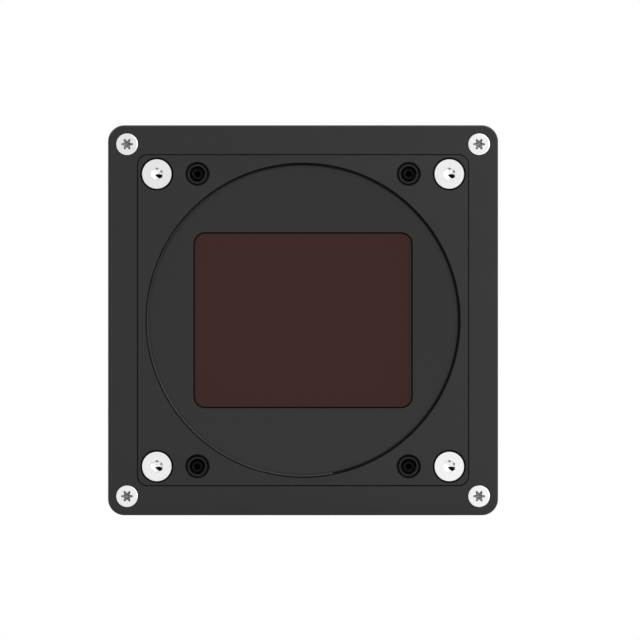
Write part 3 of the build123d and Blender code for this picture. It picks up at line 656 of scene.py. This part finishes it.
def thread_column(sizes, first_crest, turned, turns):
    """(depth, radius) points down the wall of an internal thread at one angle, from its first crest on.

    turned is the share of a turn between the thread's start and this angle, and turns the number of crests.
    """
    minor, major, pitch = sizes
    fine = [-FLANK_END + 2 * FLANK_END * i / FIRST_CREST_STEPS for i in range(FIRST_CREST_STEPS + 1)]
    points = []
    for turn in range(turns):
        for station in fine if turn == 0 else CREST_STATIONS:
            rise = min(max((abs(station) - CREST_HALF) / (FLANK_END - CREST_HALF), 0.0), 1.0)
            points.append((first_crest + pitch * (turn + turned + station), minor + (major - minor) * rise))
    return points


def chamfered_column(sizes, length, mouth, first_crest, turned):
    """The points down the whole wall at one angle, and for each whether the opening's chamfer cuts it."""
    minor, major, pitch = sizes
    turns = int((length - first_crest) / pitch) + 1
    crests = thread_column(sizes, first_crest, turned, turns)
    root = min(mouth - major, max(crests[0][0], 0.0))
    points = []
    cut = []
    for depth, radius in [(0.0, mouth), (root, major)] + crests + [(length, minor)]:
        depth = min(max(depth, 0.0), length)
        if depth == length:
            radius = minor
        cut.append(mouth - depth > radius - CAD_MERGE_DISTANCE)
        points.append((depth, max(radius, mouth - depth)))
    return points, cut


def internal_thread(mesh, centre, sizes, span, start, first_crest, segments, mouth, lit_within):
    """A helical internal thread with a blunt start. Returns its first and last loops, which are true circles.

    sizes is (minor radius, major radius, pitch), span the depths where it begins and ends, and start the
    angle where the thread starts. first_crest is the depth of its first crest there, and mouth the radius of
    its opening, which narrows by as much as it goes in. What lies before the first crest or further out
    than lit_within takes painted shade, a near-black finish, and the rest of the chamfer that of the plate's
    edge.
    """
    begin, end = span
    columns = []
    chamfered = []
    for i in range(segments + 1):
        angle = start - 2 * math.pi * i / segments
        points, cut = chamfered_column(sizes, end - begin, mouth, first_crest, i / segments)
        column = []
        for depth, radius in points:
            x = centre[0] + radius * math.cos(angle)
            z = centre[1] + radius * math.sin(angle)
            column.append(mesh.verts.new((x, begin + depth, z)))
        columns.append(column)
        chamfered.append(cut)
    before_crest = 2 + FIRST_CREST_STEPS // 2
    for i in range(segments):
        first, second = columns[i], columns[i + 1]
        for j in range(len(first) - 1):
            face = mesh.faces.new((first[j], second[j], second[j + 1], first[j + 1]))
            bevel = chamfered[i][j] and chamfered[i][j + 1] and j > 1
            middle = face.calc_center_median()
            outside = math.hypot(middle.x - centre[0], middle.z - centre[1]) > lit_within
            # Painted shade before the first crest and beyond the lit radius, and the edge's finish on the
            # chamfer's rest
            if outside or (j < before_crest and not bevel):
                face.material_index = PLATE_SHADE
            elif bevel:
                face.material_index = PLATE_EDGE
    # The blunt start's face takes painted shade
    blunt_end = columns[0][1:3 + FIRST_CREST_STEPS]
    mesh.faces.new(blunt_end).material_index = PLATE_SHADE
    return [column[0] for column in columns[:-1]], [column[-1] for column in columns[:-1]]


def corners(offset_x, offset_z):
    """Four places, one in each quarter of the face."""
    return [(x * offset_x, z * offset_z) for x in (-1, 1) for z in (-1, 1)]


def plate_sides(mesh, half, rear):
    """The plate's sides and the break of its front edge. Returns its front and rear loops."""
    inner = half - PLATE_EDGE_BREAK
    face = rounded_rectangle(inner, inner, PLATE_CORNER_RADIUS - PLATE_EDGE_BREAK)
    side = rounded_rectangle(half, half, PLATE_CORNER_RADIUS)
    front_loop = ring(mesh, (0, 0), 0.0, face)
    edge = ring(mesh, (0, 0), PLATE_EDGE_BREAK, side)
    rear_loop = ring(mesh, (0, 0), rear, side)
    join_rings(mesh, (front_loop, edge), PLATE_EDGE)
    join_rings(mesh, (edge, rear_loop))
    return front_loop, rear_loop


def lens_bore(mesh, rear):
    """The lens thread and the plain bore behind it. Returns its front and rear loops."""
    front_loop, last = internal_thread(
        mesh,
        (0, 0),
        sizes=(LENS_MINOR_RADIUS, LENS_MAJOR_RADIUS, LENS_PITCH),
        span=(0.0, LENS_THREAD_END),
        start=LENS_THREAD_START,
        first_crest=LENS_FIRST_CREST,
        segments=LENS_SEGMENTS,
        mouth=LENS_MOUTH_RADIUS,
        lit_within=LENS_LIT_RADIUS,
    )
    rear_loop = [mesh.verts.new((v.co.x, rear, v.co.z)) for v in last]
    join_rings(mesh, (last, rear_loop))
    return front_loop, rear_loop


def mount_seat(mesh, centre, rear):
    """A plate screw's counterbore, countersink and hole. Returns its front and rear loops."""
    lip = [(MOUNT_COUNTERBORE_RADIUS + MOUNT_LIP, 0.0), (MOUNT_COUNTERBORE_RADIUS, MOUNT_LIP)]
    seat = [
        (MOUNT_COUNTERBORE_RADIUS, MOUNT_LIP),
        (MOUNT_COUNTERBORE_RADIUS, MOUNT_COUNTERBORE_DEPTH),
        (MOUNT_SEAT_RADIUS, MOUNT_COUNTERBORE_DEPTH),
        (MOUNT_HOLE_RADIUS, MOUNT_COUNTERBORE_DEPTH + MOUNT_SEAT_RADIUS - MOUNT_HOLE_RADIUS),
        (MOUNT_HOLE_RADIUS, rear),
    ]
    front_loop = lathe(mesh, centre, lip, HOLE_SEGMENTS)[0]
    # The counterbore, its seat and the hole take the near-black painted shade
    rear_loop = lathe(mesh, centre, seat, HOLE_SEGMENTS, PLATE_SHADE)[-1]
    return front_loop, rear_loop


def adapter_hole(mesh, centre, rear):
    """A tapped hole below a counterbore, which ends in the drill's cone. Returns its front loop."""
    wide = ADAPTER_WALL_TOP_RADIUS
    narrow = ADAPTER_WALL_FOOT_RADIUS
    mouth = ADAPTER_MAJOR_RADIUS + ADAPTER_THREAD_CHAMFER
    lip = [(wide + ADAPTER_MOUTH_CHAMFER, 0.0), (wide, ADAPTER_MOUTH_CHAMFER)]
    wall = [(wide, ADAPTER_MOUTH_CHAMFER), (narrow, ADAPTER_COUNTERBORE_DEPTH)]
    step = [(narrow, ADAPTER_COUNTERBORE_DEPTH), (mouth, ADAPTER_COUNTERBORE_DEPTH)]
    front_loop = lathe(mesh, centre, lip, HOLE_SEGMENTS)[0]
    # The counterbore's wall takes the near-black painted shade
    lathe(mesh, centre, wall, HOLE_SEGMENTS, PLATE_SHADE)
    lathe(mesh, centre, step, HOLE_SEGMENTS)
    last = internal_thread(
        mesh,
        centre,
        sizes=(ADAPTER_MINOR_RADIUS, ADAPTER_MAJOR_RADIUS, ADAPTER_PITCH),
        span=(ADAPTER_COUNTERBORE_DEPTH, ADAPTER_TAPPED_TO),
        start=0.0,
        first_crest=ADAPTER_PITCH / 2,
        segments=HOLE_SEGMENTS,
        mouth=mouth,
        lit_within=mouth,
    )[1]
    shoulder = ring(mesh, centre, ADAPTER_DRILLED_TO, circle(ADAPTER_SHOULDER_RADIUS, HOLE_SEGMENTS))
    cone = ring(mesh, centre, ADAPTER_DRILLED_TO, circle(ADAPTER_CONE_RADIUS, HOLE_SEGMENTS))
    point = mesh.verts.new((centre[0], rear - ADAPTER_END_WALL, centre[1]))
    # The ring below the thread and the drill's cone take painted shade
    # The thread's loops run the other way round.
    join_rings(mesh, (last, shoulder[:1] + shoulder[:0:-1]), PLATE_SHADE)
    join_rings(mesh, (shoulder, cone), PLATE_HOLE_END)
    join_to_point(mesh, point, cone, PLATE_SHADE)
    return front_loop


def lens_plate():
    """The lens plate with a real helical thread in its bore and in its adapter holes."""
    low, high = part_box("lens_mount_plate")
    rear = high.y
    mesh = bmesh.new()
    through = [plate_sides(mesh, (high.x - low.x) / 2, rear), lens_bore(mesh, rear)]
    for centre in corners(MOUNT_SCREW_OFFSET, MOUNT_SCREW_OFFSET):
        through.append(mount_seat(mesh, centre, rear))
    front_loops = [loops[0] for loops in through]
    rear_loops = [loops[1] for loops in through]
    for centre in corners(ADAPTER_OFFSET_X, ADAPTER_OFFSET_Z):
        front_loops.append(adapter_hole(mesh, centre, rear))
    fill_between(mesh, front_loops)
    fill_between(mesh, rear_loops)
    make_piece("lens_plate_threaded", mesh, PLATE_SLOTS, ["lens_mount_plate"])


def hexagon_radius(angle):
    """Radius of the plate screws' socket at this angle. Its corners are at 30, 90 degrees and on."""
    turned = (angle + math.pi / 6) % (math.pi / 3) - math.pi / 6
    return MOUNT_SOCKET_WIDTH / 2 / math.cos(turned)


def lobe_radius(angle):
    """Radius of the corner screws' socket at this angle. Its lobes are at 0, 60 degrees and on."""
    return LOBE_MEAN_RADIUS + LOBE_SWING * math.cos(6 * angle)


def hexagon_painted_shade(x, z):
    """The slot a plate screw's socket floor takes here: painted dark reflection, painted shade or bright
    steel.
    """
    along = (x - DARK_REFLECTION_X) * math.cos(DARK_REFLECTION_TURN) + (z - DARK_REFLECTION_Z) * math.sin(DARK_REFLECTION_TURN)
    across = (z - DARK_REFLECTION_Z) * math.cos(DARK_REFLECTION_TURN) - (x - DARK_REFLECTION_X) * math.sin(DARK_REFLECTION_TURN)
    share = along / DARK_REFLECTION_LENGTH
    width = DARK_REFLECTION_WIDTH * (DARK_REFLECTION_MIDDLE_SHARE + DARK_REFLECTION_WIDENING * share)
    if share ** 2 + (across / width) ** 2 < 1:
        return SCREW_PAINTED_REFLECTION
    if min(math.hypot(x - spot_x, z - spot_z) for spot_x, spot_z in SHADED_CORNERS) < SHADED_CORNER_RADIUS:
        return SCREW_PAINTED_SHADE
    return 0


def painted_socket_floor(mesh, centre, depth):
    """The floor of a plate screw's socket, a little deeper in the middle, with its painted dark reflection
    and shade. Returns its rim.
    """
    tip = mesh.verts.new((centre[0], depth + MOUNT_FLOOR_DIP, centre[1]))
    loops = []
    for step in range(1, MOUNT_FLOOR_STEPS + 1):
        share = step / MOUNT_FLOOR_STEPS
        points = outline(hexagon_radius, MOUNT_SEGMENTS, share=share)
        loops.append(ring(mesh, centre, depth + MOUNT_FLOOR_DIP * (1 - share), points))
    # The black oval is a painted dark reflection, and the spots near two corners are painted shade
    for face in join_to_point(mesh, tip, loops[0]) + join_rings(mesh, loops):
        middle = face.calc_center_median()
        face.material_index = hexagon_painted_shade(middle.x - centre[0], middle.z - centre[1])
    return loops[-1]


def mount_screws():
    """Countersunk screws of the lens plate: turned heads with a soft-edged hexagon socket."""
    edge = MOUNT_HEAD_EDGE
    tip_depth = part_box("mount_screws")[1].y
    outside = [
        (MOUNT_HEAD_RADIUS - 3 * edge, MOUNT_HEAD_TOP),
        (MOUNT_HEAD_RADIUS - edge, MOUNT_HEAD_TOP),
        (MOUNT_HEAD_RADIUS, MOUNT_HEAD_TOP + edge),
        (MOUNT_HEAD_RADIUS, MOUNT_HEAD_TOP + MOUNT_HEAD_RIM),
        (MOUNT_SHANK_RADIUS, MOUNT_HEAD_TOP + MOUNT_HEAD_RIM + MOUNT_HEAD_RADIUS - MOUNT_SHANK_RADIUS),
        (MOUNT_SHANK_RADIUS, tip_depth),
    ]
    mesh = bmesh.new()
    for centre in corners(MOUNT_SCREW_OFFSET, MOUNT_SCREW_OFFSET):
        loops = [
            painted_socket_floor(mesh, centre, MOUNT_HEAD_TOP + MOUNT_SOCKET_DEPTH),
            ring(mesh, centre, MOUNT_HEAD_TOP + edge, outline(hexagon_radius, MOUNT_SEGMENTS)),
            ring(mesh, centre, MOUNT_HEAD_TOP, outline(hexagon_radius, MOUNT_SEGMENTS, edge)),
        ]
        loops += [ring(mesh, centre, depth, circle(radius, MOUNT_SEGMENTS)) for radius, depth in outside]
        join_rings(mesh, loops)
        mesh.faces.new(loops[-1])
    make_piece("mount_screws_detailed", mesh, SCREW_SLOTS, ["mount_screws"], SCREW_SMOOTH_ANGLE)


def corner_screws(name, node, face, direction):
    """Pan head screws with six-lobe sockets, whose heads lie just below the face at this depth.

    direction is 1 where they go in along +Y and -1 where along -Y.
    """
    edge = CORNER_HEAD_EDGE
    low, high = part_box(node)
    top = face + direction * CORNER_HEAD_SETBACK
    floor = top + direction * LOBE_DEPTH
    outside = [
        (CORNER_HEAD_RADIUS - 3 * edge, 0.0),
        (CORNER_HEAD_RADIUS - edge, 0.0),
        (CORNER_HEAD_RADIUS - ROUNDING * edge, ROUNDING * edge),
        (CORNER_HEAD_RADIUS, edge),
        (CORNER_HEAD_RADIUS, CORNER_HEAD_HEIGHT),
        (CORNER_SHANK_RADIUS, CORNER_HEAD_HEIGHT),
        (CORNER_SHANK_RADIUS, high.y - low.y),
    ]
    mesh = bmesh.new()
    for centre in corners(CORNER_OFFSET, CORNER_OFFSET):
        tip = mesh.verts.new((centre[0], floor + direction * LOBE_POINT_DEPTH, centre[1]))
        floor_ring = ring(mesh, centre, floor, outline(lobe_radius, CORNER_SEGMENTS, -LOBE_TAPER))
        rim = ring(mesh, centre, top + direction * LOBE_EDGE, outline(lobe_radius, CORNER_SEGMENTS))
        # The six-lobe socket's point, floor and walls take the darker steel, painted shade
        join_to_point(mesh, tip, floor_ring, SCREW_PAINTED_SHADE)
        join_rings(mesh, (floor_ring, rim), SCREW_PAINTED_SHADE)
        loops = [rim]
        for grow in (LOBE_EDGE, LOBE_LAND):
            loops.append(ring(mesh, centre, top, outline(lobe_radius, CORNER_SEGMENTS, grow)))
        for radius, depth in outside:
            loops.append(ring(mesh, centre, top + direction * depth, circle(radius, CORNER_SEGMENTS)))
        join_rings(mesh, loops)
        mesh.faces.new(loops[-1])
    make_piece(name, mesh, SCREW_SLOTS[:2], [node], SCREW_SMOOTH_ANGLE)


def window_glass():
    """The coated glass, with a black border that is painted shade along the opening's edge."""
    low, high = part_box("window_glass")
    die_low, die_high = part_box("sensor_die")
    half_x = (die_high.x - die_low.x) / 2 + WINDOW_MARGIN - GLASS_SHADE_BORDER
    half_z = (die_high.z - die_low.z) / 2 + WINDOW_MARGIN - GLASS_SHADE_BORDER
    mesh = bmesh.new()
    edge = rounded_rectangle(high.x, high.z, GLASS_CORNER_RADIUS)
    front = ring(mesh, (0, 0), low.y, edge)
    rear = ring(mesh, (0, 0), high.y, edge)
    clear = ring(mesh, (0, 0), low.y, rounded_rectangle(half_x, half_z, WINDOW_CORNER_RADIUS - GLASS_SHADE_BORDER))
    join_rings(mesh, (front, rear))
    # The band between the clear middle and the glass's edge is painted shade
    join_rings(mesh, (clear, front), 1)
    mesh.faces.new(clear)
    mesh.faces.new(rear)
    make_piece("window_glass_bordered", mesh, ["filter_glass", "painted_shade_black"], ["window_glass"])


# Body


def on_outline(corner, half):
    """Whether a point lies on the body's square outline with round corners."""
    x, z = abs(corner.x), abs(corner.z)
    inner = half - BODY_CORNER_RADIUS
    if x > inner and z > inner:
        return math.hypot(x - inner, z - inner) > BODY_CORNER_RADIUS - OUTLINE_TOLERANCE
    return max(x, z) > half - OUTLINE_TOLERANCE


def weigh_normals(data):
    """Gives each corner the mean normal, by area, of the faces that meet smoothly there. Flats stay flat."""
    limit = math.cos(math.radians(SMOOTH_ANGLE))
    meeting = [[] for _ in data.vertices]
    for face in data.polygons:
        for vertex in face.vertices:
            meeting[vertex].append(face)
    normals = []
    for face in data.polygons:
        for vertex in face.vertices:
            near = [other for other in meeting[vertex] if other.normal.dot(face.normal) > limit]
            mean = sum((other.area * other.normal for other in near), Vector())
            normals.append(mean.normalized() if mean.length > 0 else face.normal.copy())
    data.normals_split_custom_set(normals)


def seamed_part(name, node, slot, *seams):
    """A body piece as it is in the CAD, with its outer edges broken at the depths where it meets another."""
    half = cad_box[1][0]
    mesh = bmesh.new()
    mesh.from_mesh(nodes[node].data)
    bmesh.ops.remove_doubles(mesh, verts=mesh.verts, dist=CAD_MERGE_DISTANCE)
    bmesh.ops.dissolve_limit(mesh, angle_limit=math.radians(FLAT_ANGLE), verts=mesh.verts, edges=mesh.edges)
    edges = []
    for edge in mesh.edges:
        at_seam = any(all(abs(v.co.y - seam) < SEAM_TOLERANCE for v in edge.verts) for seam in seams)
        if at_seam and all(on_outline(v.co, half) for v in edge.verts):
            edges.append(edge)
    bmesh.ops.bevel(mesh, geom=edges, offset=SEAM_BREAK, offset_type="OFFSET", segments=1, affect="EDGES")
    piece = make_piece(name, mesh, [slot], [node])
    weigh_normals(piece.data)


# Rear connectors


def middle_of(node):
    """A node's centre across the camera, as (x, z)."""
    low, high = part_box(node)
    return ((low.x + high.x) / 2, (low.z + high.z) / 2)


def fluted(radius, flutes, depth):
    """The radius at each angle of a rim with fine straight flutes."""
    return lambda angle: radius - depth * (0.5 - 0.5 * math.cos(flutes * angle))


def keyed(radius, depth):
    """The radius at each angle of the power socket's mouth, with its key grooves."""

    def radius_at(angle):
        turned = math.degrees(angle)
        nearest = min(abs((turned - key + 180) % 360 - 180) for key in SOCKET_KEY_ANGLES)
        return radius + depth if nearest < SOCKET_KEY_HALF_WIDTH else radius

    return radius_at


def rounded_rim(radius, mouth, edge):
    """Profile points of a barrel's rounded end."""
    return [
        (radius, mouth - 2 * edge),
        (radius - ROUNDING * edge, mouth - edge),
        (radius - edge, mouth - ROUNDING * edge),
        (radius - 2 * edge, mouth),
    ]


def dome(radius, height, top, steps):
    """Profile points of a domed end, up to the step before its middle."""
    angles = [math.radians(90 / steps * step) for step in range(1, steps)]
    return [(radius * math.cos(a), top - height + height * math.sin(a)) for a in angles]


def lug(mesh, foot, direction, radius, length):
    """A short round lug with a chamfered end that stands on a barrel."""
    along = Vector(direction)
    across = along.orthogonal().normalized()
    other = along.cross(across)
    chamfer = JACK_LUG_CHAMFER * radius
    loops = []
    for size, distance in ((radius, 0.0), (radius, length - chamfer), (radius - chamfer, length)):
        middle = Vector(foot) + along * distance
        points = circle(size, JACK_LUG_SEGMENTS)
        loops.append([mesh.verts.new(middle + x * across + z * other) for x, z in points])
    join_rings(mesh, loops)
    mesh.faces.new(loops[0])
    mesh.faces.new(loops[-1])


def jack_profile(front, recess_face, mouth):
    """Profile of a jack from the top of its base round its barrel and back through its bore."""
    shoulder = recess_face + JACK_BODY_STAND_OUT
    edge = CONNECTOR_CHAMFER
    body = JACK_BODY_RADIUS
    barrel = JACK_BARREL_RADIUS
    bore = JACK_BORE_RADIUS
    undercut = barrel - JACK_UNDERCUT
    undercut_end = shoulder + JACK_UNDERCUT_WIDTH
    knurl = fluted(body, JACK_FLUTES, JACK_FLUTE_DEPTH)
    return [
        (body, front + JACK_BASE_THICKNESS),
        (body, recess_face),
        (body - edge, recess_face),
        (knurl, recess_face + edge),
        (knurl, shoulder - edge),
        (body - 2 * edge, shoulder),
        (undercut, shoulder),
        (undercut, undercut_end),
        (barrel - edge, undercut_end),
        (barrel, undercut_end + edge),
        *rounded_rim(barrel, mouth, edge),
        (bore + edge, mouth),
        (bore, mouth - edge),
        (bore, mouth - JACK_GROOVE_START),
        (bore + edge, mouth - JACK_GROOVE_START - edge),
        (bore + edge, mouth - JACK_GROOVE_END),
        (bore, mouth - JACK_GROOVE_END - edge),
        (bore, front),
    ]


def data_jack(number):
    """A jack's shell: square base on the board, knurled body, undercut barrel with two bayonet lugs."""
    node = f"data_jack_shell_{number}"
    low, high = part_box(node)
    centre = middle_of(node)
    recess_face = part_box("rear_cover")[1].y - RECESS_DEPTH
    mesh = bmesh.new()
    half = (high.x - low.x) / 2
    square = rounded_rectangle(half, half, JACK_BASE_CORNER, steps=4)
    base_front = ring(mesh, centre, low.y, square)
    base_rear = ring(mesh, centre, low.y + JACK_BASE_THICKNESS, square)
    join_rings(mesh, (base_front, base_rear))
    loops = lathe(mesh, centre, jack_profile(low.y, recess_face, high.y), JACK_SEGMENTS)
    fill_between(mesh, [base_rear, loops[0]])
    fill_between(mesh, [base_front, loops[-1]])
    for side in (-1, 1):
        foot = (centre[0], high.y - JACK_LUG_SETBACK, centre[1] + side * JACK_LUG_FOOT)
        lug(mesh, foot, (0, 0, side), JACK_LUG_RADIUS, JACK_LUG_REACH - JACK_LUG_FOOT)
    make_piece(f"data_jack_shell_turned_{number}", mesh, ["nickel_shell"], [node])


def jack_pins():
    """The jacks' centre contacts, each bored to take a plug's pin."""
    mesh = bmesh.new()
    names = [f"data_jack_pin_{number}" for number in range(1, JACK_COUNT + 1)]
    for node in names:
        low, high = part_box(node)
        radius = (high.x - low.x) / 2
        profile = [
            (radius, low.y),
            (radius, high.y - JACK_PIN_CHAMFER),
            (radius - JACK_PIN_CHAMFER, high.y),
            (JACK_PIN_BORE_RADIUS, high.y),
            (JACK_PIN_BORE_RADIUS, high.y - JACK_PIN_BORE_DEPTH),
        ]
        turned_solid(mesh, middle_of(node), profile, JACK_PIN_SEGMENTS)
    make_piece("data_jack_pins_bored", mesh, ["gold_contact"], names)


def power_socket():
    """The power socket's shell: knurled flange, latch groove and key grooves at its mouth."""
    low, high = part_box("power_socket_shell")
    centre = middle_of("power_socket_shell")
    insert_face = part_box("power_socket_insert")[1].y
    flange_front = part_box("rear_cover")[1].y - RECESS_DEPTH
    flange_rear = flange_front + SOCKET_FLANGE_THICKNESS
    mouth = high.y
    edge = CONNECTOR_CHAMFER
    body = SOCKET_BODY_RADIUS
    groove = body - SOCKET_GROOVE_DEPTH
    bore = keyed(SOCKET_BORE_RADIUS, SOCKET_KEY_DEPTH)
    knurl = fluted(SOCKET_FLANGE_RADIUS, SOCKET_FLUTES, SOCKET_FLUTE_DEPTH)
    profile = [
        (SOCKET_BORE_RADIUS, low.y),
        (body, low.y),
        (body, flange_front),
        (SOCKET_FLANGE_RADIUS - 2 * edge, flange_front),
        (knurl, flange_front + edge),
        (knurl, flange_rear - edge),
        (SOCKET_FLANGE_RADIUS - 2 * edge, flange_rear),
        (body + edge, flange_rear),
        (body, flange_rear + edge),
        (body, mouth - SOCKET_GROOVE_END),
        (groove, mouth - SOCKET_GROOVE_END + edge),
        (groove, mouth - SOCKET_GROOVE_START - edge),
        (body, mouth - SOCKET_GROOVE_START),
        *rounded_rim(body, mouth, edge),
        (keyed(SOCKET_BORE_RADIUS + edge, SOCKET_KEY_DEPTH - edge), mouth),
        (bore, mouth - edge),
        (bore, insert_face + SOCKET_KEY_FLOOR),
        (SOCKET_BORE_RADIUS, insert_face),
        (SOCKET_BORE_RADIUS, low.y),
    ]
    mesh = bmesh.new()
    lathe(mesh, centre, profile, SOCKET_SEGMENTS)
    make_piece("power_socket_shell_turned", mesh, ["nickel_shell"], ["power_socket_shell"])


def power_pins():
    """The power socket's pins, with round ends."""
    low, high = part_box("power_socket_pins")
    centre = middle_of("power_socket_shell")
    radius = SOCKET_PIN_RADIUS
    profile = [(radius, low.y), (radius, high.y - radius), *dome(radius, radius, high.y, SOCKET_PIN_STEPS)]
    mesh = bmesh.new()
    for distance, count in SOCKET_PIN_RINGS:
        for x, z in circle(distance, count, math.radians(90)):
            turned_solid(mesh, (centre[0] + x, centre[1] + z), profile, SOCKET_PIN_SEGMENTS)
    make_piece("power_socket_pins_round", mesh, ["gold_contact"], ["power_socket_pins"])


def status_light():
    """The status light's rod, with a domed end."""
    low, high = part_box("status_light")
    radius = (high.x - low.x) / 2
    profile = [(radius, low.y), (radius, high.y - LIGHT_DOME)]
    profile += dome(radius, LIGHT_DOME, high.y, LIGHT_DOME_STEPS)
    mesh = bmesh.new()
    turned_solid(mesh, middle_of("status_light"), profile, LIGHT_SEGMENTS)
    make_piece("status_light_domed", mesh, ["light_rod"], ["status_light"])


# Scene


def add_camera():
    """A level view square to the lens side, without perspective."""
    camera = bpy.data.objects.new("camera", bpy.data.cameras.new("camera"))
    bpy.context.scene.collection.objects.link(camera)
    camera.data.type = "ORTHO"
    camera.data.ortho_scale = PICTURE_PIXELS / PIXELS_PER_MM * MM
    across = (PICTURE_PIXELS / 2 - OBJECT_CENTRE_PIXEL[0]) / PIXELS_PER_MM * MM
    up = (OBJECT_CENTRE_PIXEL[1] - PICTURE_PIXELS / 2) / PIXELS_PER_MM * MM
    camera.location = (across, -CAMERA_DISTANCE, up)
    camera.rotation_euler = (math.radians(90), 0.0, 0.0)
    camera.data.clip_start = CAMERA_NEAREST
    bpy.context.scene.camera = camera


def add_lights():
    """The square soft boxes, each turned to the object."""
    for name, place, size, power in LAMPS:
        light = bpy.data.lights.new(name, "AREA")
        light.shape = "SQUARE"
        light.size = size
        light.energy = power
        lamp = bpy.data.objects.new(name, light)
        bpy.context.scene.collection.objects.link(lamp)
        lamp.location = place
        lamp.rotation_euler = (Vector(LAMP_TARGET) - lamp.location).to_track_quat("-Z", "Y").to_euler()


def seen_directly(tree):
    """1 for what the camera, a reflection or a clear piece shows, and 0 for light on a surface."""
    path = tree.nodes.new("ShaderNodeLightPath")
    camera_or_glossy = math_node(
        tree, "MAXIMUM", path.outputs["Is Camera Ray"], path.outputs["Is Glossy Ray"]
    )
    return math_node(tree, "MAXIMUM", camera_or_glossy, path.outputs["Is Transmission Ray"])


def add_world():
    """White where it is seen, and softer where it lights the object."""
    world = bpy.data.worlds.new("studio")
    world.use_nodes = True
    tree = world.node_tree
    background = tree.nodes["Background"]
    strength = tree.nodes.new("ShaderNodeMapRange")
    strength.inputs["To Min"].default_value = WORLD_LIGHT
    strength.inputs["To Max"].default_value = 1.0
    background.inputs["Color"].default_value = grey(1.0)
    tree.links.new(seen_directly(tree), strength.inputs["Value"])
    tree.links.new(strength.outputs["Result"], background.inputs["Strength"])
    bpy.context.scene.world = world


def add_floor():
    """A pale floor just under the object, clear of its lower face. It keeps the object's shadow."""
    level = cad_box[0][2] - FLOOR_GAP
    reach = FLOOR_REACH
    mesh = bpy.data.meshes.new("floor")
    points = [(-reach, -reach, level), (reach, -reach, level), (reach, reach, level), (-reach, reach, level)]
    mesh.from_pydata(points, [], [(0, 1, 2, 3)])
    floor = bpy.data.objects.new("floor", mesh)
    bpy.context.scene.collection.objects.link(floor)
    material, tree, shader = new_material("floor", grey(0.9), roughness=0.9, specular=0.1)
    glow = tree.nodes.new("ShaderNodeEmission")
    mix = tree.nodes.new("ShaderNodeMixShader")
    share = math_node(tree, "MULTIPLY", seen_directly(tree), FLOOR_GLOW)
    tree.links.new(share, mix.inputs["Fac"])
    tree.links.new(shader.outputs["BSDF"], mix.inputs[1])
    tree.links.new(glow.outputs["Emission"], mix.inputs[2])
    tree.links.new(mix.outputs["Shader"], tree.nodes["Material Output"].inputs["Surface"])
    mesh.materials.append(material)


finish_cad_nodes()
lens_plate()
mount_screws()
window_glass()
corner_screws("front_screws_detailed", "front_screws", 0.0, 1)
corner_screws("rear_screws_detailed", "rear_screws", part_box("rear_cover")[1].y, -1)
front_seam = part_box("housing")[0].y
rear_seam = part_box("housing")[1].y
seamed_part("front_frame_seamed", "front_frame", "frame_black", front_seam)
seamed_part("housing_seamed", "housing", "black_anodised", front_seam, rear_seam)
seamed_part("rear_cover_seamed", "rear_cover", "cover_black", rear_seam)
for number in range(1, JACK_COUNT + 1):
    data_jack(number)
jack_pins()
power_socket()
power_pins()
status_light()

add_camera()
add_lights()
add_world()
add_floor()
bpy.context.scene.view_settings.view_transform = "Standard"
